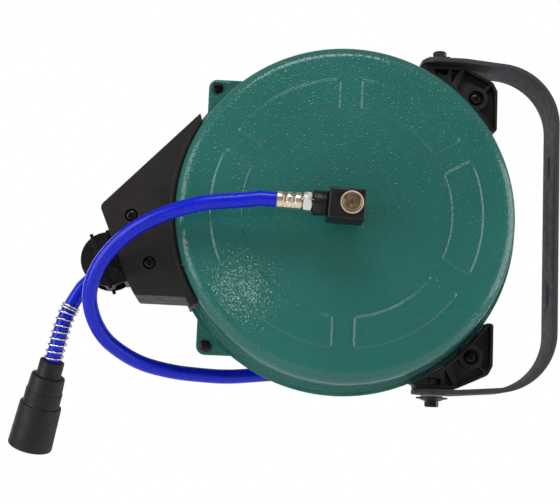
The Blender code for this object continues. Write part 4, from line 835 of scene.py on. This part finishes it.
boot = {
    "length": 75, "recess": 5,
    "outer": ((6.45, 0.2), (7.2, 0), (9.3, -0.1), (9.8, -0.4), (10, -1), (10, -12.1),
              (10.25, -12.6), (13.0, -12.9), (13.6, -13.3), (13.85, -14.2), (15.05, -36.6),
              (15.25, -37.2), (16.4, -37.6), (16.9, -38), (17.1, -38.8), (18.15, -72.4),
              (18.15, -73.6), (17.8, -74.4), (17.1, -74.8), (15.8, -74.8), (15.3, -74.6),
              (15, -74.1), (15, -26), (6.4, -26)),
}
coupler = {
    "length": 44, "top": ((0, 0), (8.6, 0), (9.0, -0.3), (11.7, -3), (12, -3.6)),
    "rings": 7, "firstRing": 26, "ringPitch": 2.2,
    "ring": ((12, 0.8), (11.6, 0.4), (11.6, -0.4), (12, -0.8)),
    "foot": ((12, 9.4), (12.3, 9), (13.2, 8.4), (13.4, 7.8), (13.4, 1.6), (13.1, 0.9), (12.2, 0.1),
             (11.8, 0), (9.6, 0), (8.9, 0.4), (8.5, 1.6), (8, 2), (8, 20), (0, 20)),
}


def makeBoot():
    turn = frameOf(bootTop, -bootDown)
    sleeve = placed(spinShape(boot["outer"], 72, closed=True), turn)
    addPiece("bootSleeve", sleeve, bootRubber, "reel_case", ("hose_boot",), 40)
    c = coupler
    low = boot["recess"] - boot["length"]
    profile = [(r, low + c["length"] + h) for r, h in c["top"]]
    for k in range(c["rings"]):
        middle = low + c["firstRing"] - k * c["ringPitch"]
        profile += [(r, middle + h) for r, h in c["ring"]]
    profile += [(r, low + h) for r, h in c["foot"]]
    inner = placed(spinShape(profile, 56), turn)
    addPiece("quickCoupler", inner, zincPlate, "reel_case", ("coupler",), 30)


guard = {
    "meanRadius": 7.2, "wire": 0.7, "turns": 8, "endTurns": 2, "endPitch": 2.1, "length": 47,
    "perTurn": 28,
}


def makeGuard():
    # The points of outletFine lie 1 mm apart, so a length is also a number of points
    g, fine = guard, outletFine
    stop = min(range(len(fine)), key=lambda i: (fine[i] - bootTop).length) - 1
    first, tight = stop - g["length"], g["endTurns"] * g["endPitch"]
    points = []
    for i in range((g["turns"] + g["endTurns"]) * g["perTurn"] + 1):
        turn = i / g["perTurn"]
        along = turn * g["endPitch"]
        if turn >= g["endTurns"]:
            along = tight + (turn - g["endTurns"]) / g["turns"] * (g["length"] - tight)
        k = min(len(fine) - 2, int(first + along))
        here = fine[k].lerp(fine[k + 1], first + along - k)
        ahead = (fine[k + 1] - fine[k - 1]).normalized()
        out = ahead.cross(Vector((0, 1, 0))).normalized()
        side = out.cross(ahead)
        a = math.tau * turn
        points.append(here + (side * math.cos(a) + out * math.sin(a)) * g["meanRadius"] * mm)
    hoseTube("bendGuard", points, g["wire"] * mm, zincPlate, "reel_case", ("bend_guard",), 2)


inlet = {
    "sleeve": ((4.7, 17.9), (9.0, 17.9), (9.5, 18.2), (9.8, 18.8), (9.8, 20.8), (9.4, 21.2),
               (9.4, 21.7), (9.8, 22.1), (9.8, 27.9), (9.5, 28.6), (8.9, 28.9), (4.7, 28.9)),
    "hexStart": 29.2, "hexEnd": 37.1, "hexFlats": 14, "hexCone": ((0, -1), (4.5, -1), (8.6, 1.7)),
    "tail": ((3.0, 15), (4.3, 15), (4.3, 29.5), (3.9, 36.6), (3.9, 53.9), (3.0, 53.9)),
    "ring": ((7.4, 88.35), (8.4, 88.35), (8.8, 88.6), (8.9, 89.0), (8.9, 89.5), (8.7, 89.85),
             (8.3, 89.9), (7.7, 89.9), (7.4, 89.7)),
}
ferrule = {
    "start": 37.4, "length": 19.1, "mouth": ((4.3, 0), (6.2, 0), (6.7, 0.2), (6.9, 0.7)),
    "groove": ((6.9, -1.9), (6.75, -1.5), (6.25, -1.0), (6.15, -0.6), (6.15, 0.6), (6.25, 1.0),
               (6.75, 1.5), (6.9, 1.9)),
    "end": ((6.9, -0.6), (6.8, -0.2), (6.5, 0), (6.1, 0), (4.3, -0.5)),
    # The floor of a groove, between these radii, is pressed to a polygon
    "floorFrom": 6.1, "floorTo": 6.3, "floor": 6.2, "lift": 0.2, "sides": 8,
}


def pressGrooves(bm):
    f = ferrule
    step = math.tau / f["sides"]
    for vert in bm.verts:
        r = math.hypot(vert.co.x, vert.co.y)
        if f["floorFrom"] * mm <= r <= f["floorTo"] * mm:
            a = math.atan2(vert.co.y, vert.co.x)
            local = (a + step / 2) % step - step / 2
            flat = f["floor"] * mm * math.cos(step / 2) / math.cos(local) + f["lift"] * mm
            vert.co.x, vert.co.y = vert.co.x * flat / r, vert.co.y * flat / r


def makeInlet():
    turn = frameOf(inletPlace(0), inletPlace(1) - inletPlace(0))
    sleeve = placed(spinShape(inlet["sleeve"], 56, closed=True), turn)
    addPiece("inletSleeve", sleeve, blockBlack, "reel_case", ("connector_sleeve",),
             30)

    low, high, cone = inlet["hexStart"], inlet["hexEnd"], inlet["hexCone"]
    nut = flatShape([circlePoints(inlet["hexFlats"] / 2 * hexRatio * mm, 6)], low * mm, high * mm)
    cone = spinShape([(r, low + h) for r, h in cone] + [(r, high - h) for r, h in cone[::-1]], 64)
    nut = joinShapes(meetShapes(nut, cone), spinShape(inlet["tail"], 40, closed=True))
    addPiece("hexNipple", placed(nut, turn), zincPlate, "reel_case", ("hex_nipple",),
             25)

    begin, length = ferrule["start"], ferrule["length"]
    profile = [(r, begin + h) for r, h in ferrule["mouth"]]
    for band in (1, 2):
        profile += [(r, begin + length / 3 * band + h) for r, h in ferrule["groove"]]
    profile += [(r, begin + length + h) for r, h in ferrule["end"]]
    crimped = spinShape(profile, 64, closed=True)
    pressGrooves(crimped)
    addPiece("crimpedFerrule", placed(crimped, turn), paleBrass, "reel_case", ("crimp_ferrule",),
             25)

    ring = placed(spinShape(inlet["ring"], 64, closed=True), alongY, reelPoint(0, 0, 0))
    addPiece("brightRing", ring, ringSteel, "reel_case", ("retaining_ring",), 30)


makeBoot()
makeGuard()
makeInlet()
print("hose ends ready")


# Screws, bolts and washers

swivel = {
    "x": -97.3, "face": 138.0, "flats": 10, "coneWide": 6.0, "coneSlim": 4.9, "coneDepth": 1.2,
    "bolt": (5.4, 9.9), "nut": (-12.4, -8.0), "nutHole": 3.3,
    "shank": ((0, -13.8), (2.6, -13.8), (3, -13.2), (3, 5.6), (0, 5.6)),
    "washer": ((3.35, 2.1), (12.0, 2.1), (12.0, 3.0), (11.4, 3.2), (8.0, 4.5), (6.4, 5.1),
               (3.35, 5.1)),
    "teeth": 18, "tooth": ((11.2, -8.5), (12.8, -5.2), (12.8, 3.6), (11.2, 6.2)), "toothRoot": 9,
    "toothLow": 2.15, "toothHigh": 3.35, "toothEdge": 0.2,
    "bush": ((3.3, 1.8), (8.6, 1.8), (9, 1.5), (9, 0.6), (8.7, 0.3), (4.8, 0.3), (4.8, -4),
             (3.3, -4)),
}


def hexHead(low, high):
    w = swivel
    block = flatShape([circlePoints(w["flats"] / 2 * hexRatio * mm, 6)], low * mm, high * mm)
    wide, slim = w["coneWide"], w["coneSlim"]
    cone = spinShape([(0, low - 1), (wide, low - 1), (wide, high - w["coneDepth"]), (slim, high),
                      (0, high)], 48)
    return meetShapes(block, cone)


def makeSwivel(side, label):
    w = swivel
    turn = Matrix.Translation((w["x"] * mm, 0, side * w["face"] * mm))
    if side < 0:
        turn = turn @ Matrix.Rotation(math.pi, 4, "X")

    bolt = placed(joinShapes(hexHead(*w["bolt"]), spinShape(w["shank"], 32)), turn)
    addPiece(label + "Bolt", bolt, boltSteel, "reel_case", ("swivel_bolt_" + label,),
             25)

    teeth = []
    for i in range(w["teeth"]):
        for r, b in w["tooth"]:
            teeth.append(onCircle(r * mm, 360 * i / w["teeth"] + b))
    ring = flatShape([teeth, circlePoints(w["toothRoot"] * mm, 48)], w["toothLow"] * mm,
                     w["toothHigh"] * mm)
    bevelEdges(ring, w["toothEdge"] * mm, 1, 50)
    washer = placed(joinShapes(spinShape(w["washer"], 72, True), ring), turn)
    addPiece(label + "ToothedWasher", washer, boltSteel, "reel_case", ("tooth_washer_" + label,),
             30)

    bush = placed(spinShape(w["bush"], 48, True), turn)
    addPiece(label + "Bush", bush, nylonWhite, "wall_bracket", ("swivel_bush_" + label,),
             30)

    nut = placed(hexHead(*w["nut"]), Matrix.Rotation(math.pi / 6, 4, "Z"))
    hole = flatShape([circlePoints(w["nutHole"] * mm, 24)], -0.02, 0.02)
    nut = placed(cutShape(nut, hole), turn)
    addPiece(label + "Nut", nut, zincPlate, "reel_case", ("swivel_nut_" + label,),
             25)


screw = {
    "head": 4.6, "height": 2.6, "side": 0.35, "dome": 0.65, "under": 0.2, "brim": 0.25,
    "tip": 0.8, "tipLength": 0.6, "arm": 0.6, "armHalf": 0.7, "recess": 2,
}
# Each screw: its solid, place, seat, end, shank and the turn of its cross
screws = {
    "upperLeftScrew": ("ear_screw_upper_left", (-107, 107), -2.1, 6.0, 2.4, 0.0),
    "lowerLeftScrew": ("ear_screw_lower_left", (-107, -107), -2.1, 6.0, 2.4, -0.4),
    "upperRightScrew": ("ear_screw_upper_right", (107, 107), -7.1, 11.0, 2.4, 1.0),
    "lowerRightScrew": ("ear_screw_lower_right", (107, -107), -7.1, 11.0, 2.4, 0.6),
    "guideScrewHigh": ("guide_screw_1", (-169.2, -8.6), -31.1, 21, 1.9, 0.5),
    "guideScrewLow": ("guide_screw_2", (-153.1, -45.6), -31.1, 21, 1.9, 0.1),
}


def crossScrew(name, node, place, seat, end, shank, turnBy):
    s = screw
    head, height = s["head"], s["height"]
    side = seat - height * s["side"]
    profile = [(0, end), (shank * s["tip"], end), (shank, end - s["tipLength"]), (shank, seat),
               (head - s["under"], seat), (head, seat - s["brim"]), (head, side)]
    for a in (math.radians(d) for d in (15, 30, 45, 60, 75)):
        profile.append((head * math.cos(a), side - height * s["dome"] * math.sin(a)))
    profile.append((0, seat - height))
    bm = spinShape([(r, -h) for r, h in profile], 40)
    arm, half = head * s["arm"], s["armHalf"]
    cross = [(arm, -half), (arm, half), (half, half), (half, arm), (-half, arm), (-half, half),
             (-arm, half), (-arm, -half), (-half, -half), (-half, -arm), (half, -arm),
             (half, -half)]
    cos, sin = math.cos(turnBy), math.sin(turnBy)
    cross = [((u * cos - v * sin) * mm, (u * sin + v * cos) * mm) for u, v in cross]
    crown = height - seat
    tool = flatShape([cross], (crown - s["recess"]) * mm, (crown + s["recess"]) * mm)
    bm = placed(cutShape(bm, tool), alongY, reelPoint(place[0], 0, place[1]))
    addPiece(name, bm, screwBlack, "reel_case", (node,), 30)


makeSwivel(1, "upper")
makeSwivel(-1, "lower")
for name, values in screws.items():
    crossScrew(name, *values)


# Rollers and pins

rollers = {
    # Along the run of the hose and across it
    "spots": ((-11.4, -11.7), (11.4, 11.7), (0, 11.7), (7.1, -15.3)),
    "roll": ((2.8, 15), (4.9, 15), (5.4, 14.4), (5.2, 9), (5.05, 0), (5.2, -9), (5.4, -14.4),
             (4.9, -15), (2.8, -15)),
    "pin": ((0, 19.3), (1.9, 19.3), (2.3, 19.0), (2.4, 18.6), (2.4, -18.6), (2.3, -19.0),
            (1.9, -19.3), (0, -19.3)),
}


def makeRollers():
    outlet, run, _ = hoseLine()
    side = Vector((-run.z, 0, run.x))
    for (along, across), number, letter in zip(rollers["spots"], "1234", "abcd"):
        spot = outlet + (run * along + side * across) * mm
        roll = placed(spinShape(rollers["roll"], 40, closed=True), alongY, spot)
        addPiece("roller" + number, roll, cageBlack, "roller_" + letter, ("roller_" + number,),
                 30)
        pin = placed(spinShape(rollers["pin"], 32), alongY, spot)
        addPiece("rollerPin" + number, pin, screwBlack, "reel_case", ("roller_pin_" + number,),
                 30)


makeRollers()
print("fixings and rollers ready")


# Inner layers of the wound hose, as their ribbed outside

layers = {
    "radii": (76.3, 84.5, 92.7), "hose": 6, "reach": 24.9, "ridges": 5, "bore": 70.4, "half": 26,
}


def ridge(r, y, first, last, step, side=1):
    hose = layers["hose"]
    return [(r + hose * math.sin(math.radians(a)), y + side * hose * math.cos(math.radians(a)))
            for a in range(first, last, step)]


def makeInnerLayers():
    radii, reach, count = layers["radii"], layers["reach"], layers["ridges"]
    top = radii[-1]
    profile = []
    for r in radii:
        profile += ridge(r, reach, -50, 41 if r < top else 1, 15)
    for k in range(count):
        last = 156 if k < count - 1 else 176
        profile += ridge(top, reach - k * reach / 2, 25 if k else 5, last, 10)
    for r in radii[::-1]:
        profile += ridge(r, -reach, 40 if r < top else 0, -51, -15, -1)
    profile += [(layers["bore"], -layers["half"]), (layers["bore"], layers["half"])]
    bm = placed(spinShape(profile, 120, closed=True), backwards, (reelX, 0, 0))
    addPiece("innerHoseLayers", bm, hoseBlue, "drum", ("hose_core",), 50)


makeInnerLayers()


# The pieces inside the case keep their solids and take a finish

insides = {
    "drum_barrel": drumGrey, "drum_rear_flange": drumGrey,
    "spring_arbor": zincPlate, "arbor_washer": zincPlate, "arbor_nut": zincPlate,
    "power_spring": springSteel, "front_bush": blackPlastic, "pawl": boltSteel,
    "pawl_pin": zincPlate, "inlet_plug": zincPlate, "coil_tie": bootRubber,
}
for node, finishMaterial in insides.items():
    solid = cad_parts[node]
    solid.data.materials.clear()
    solid.data.materials.append(finishMaterial)
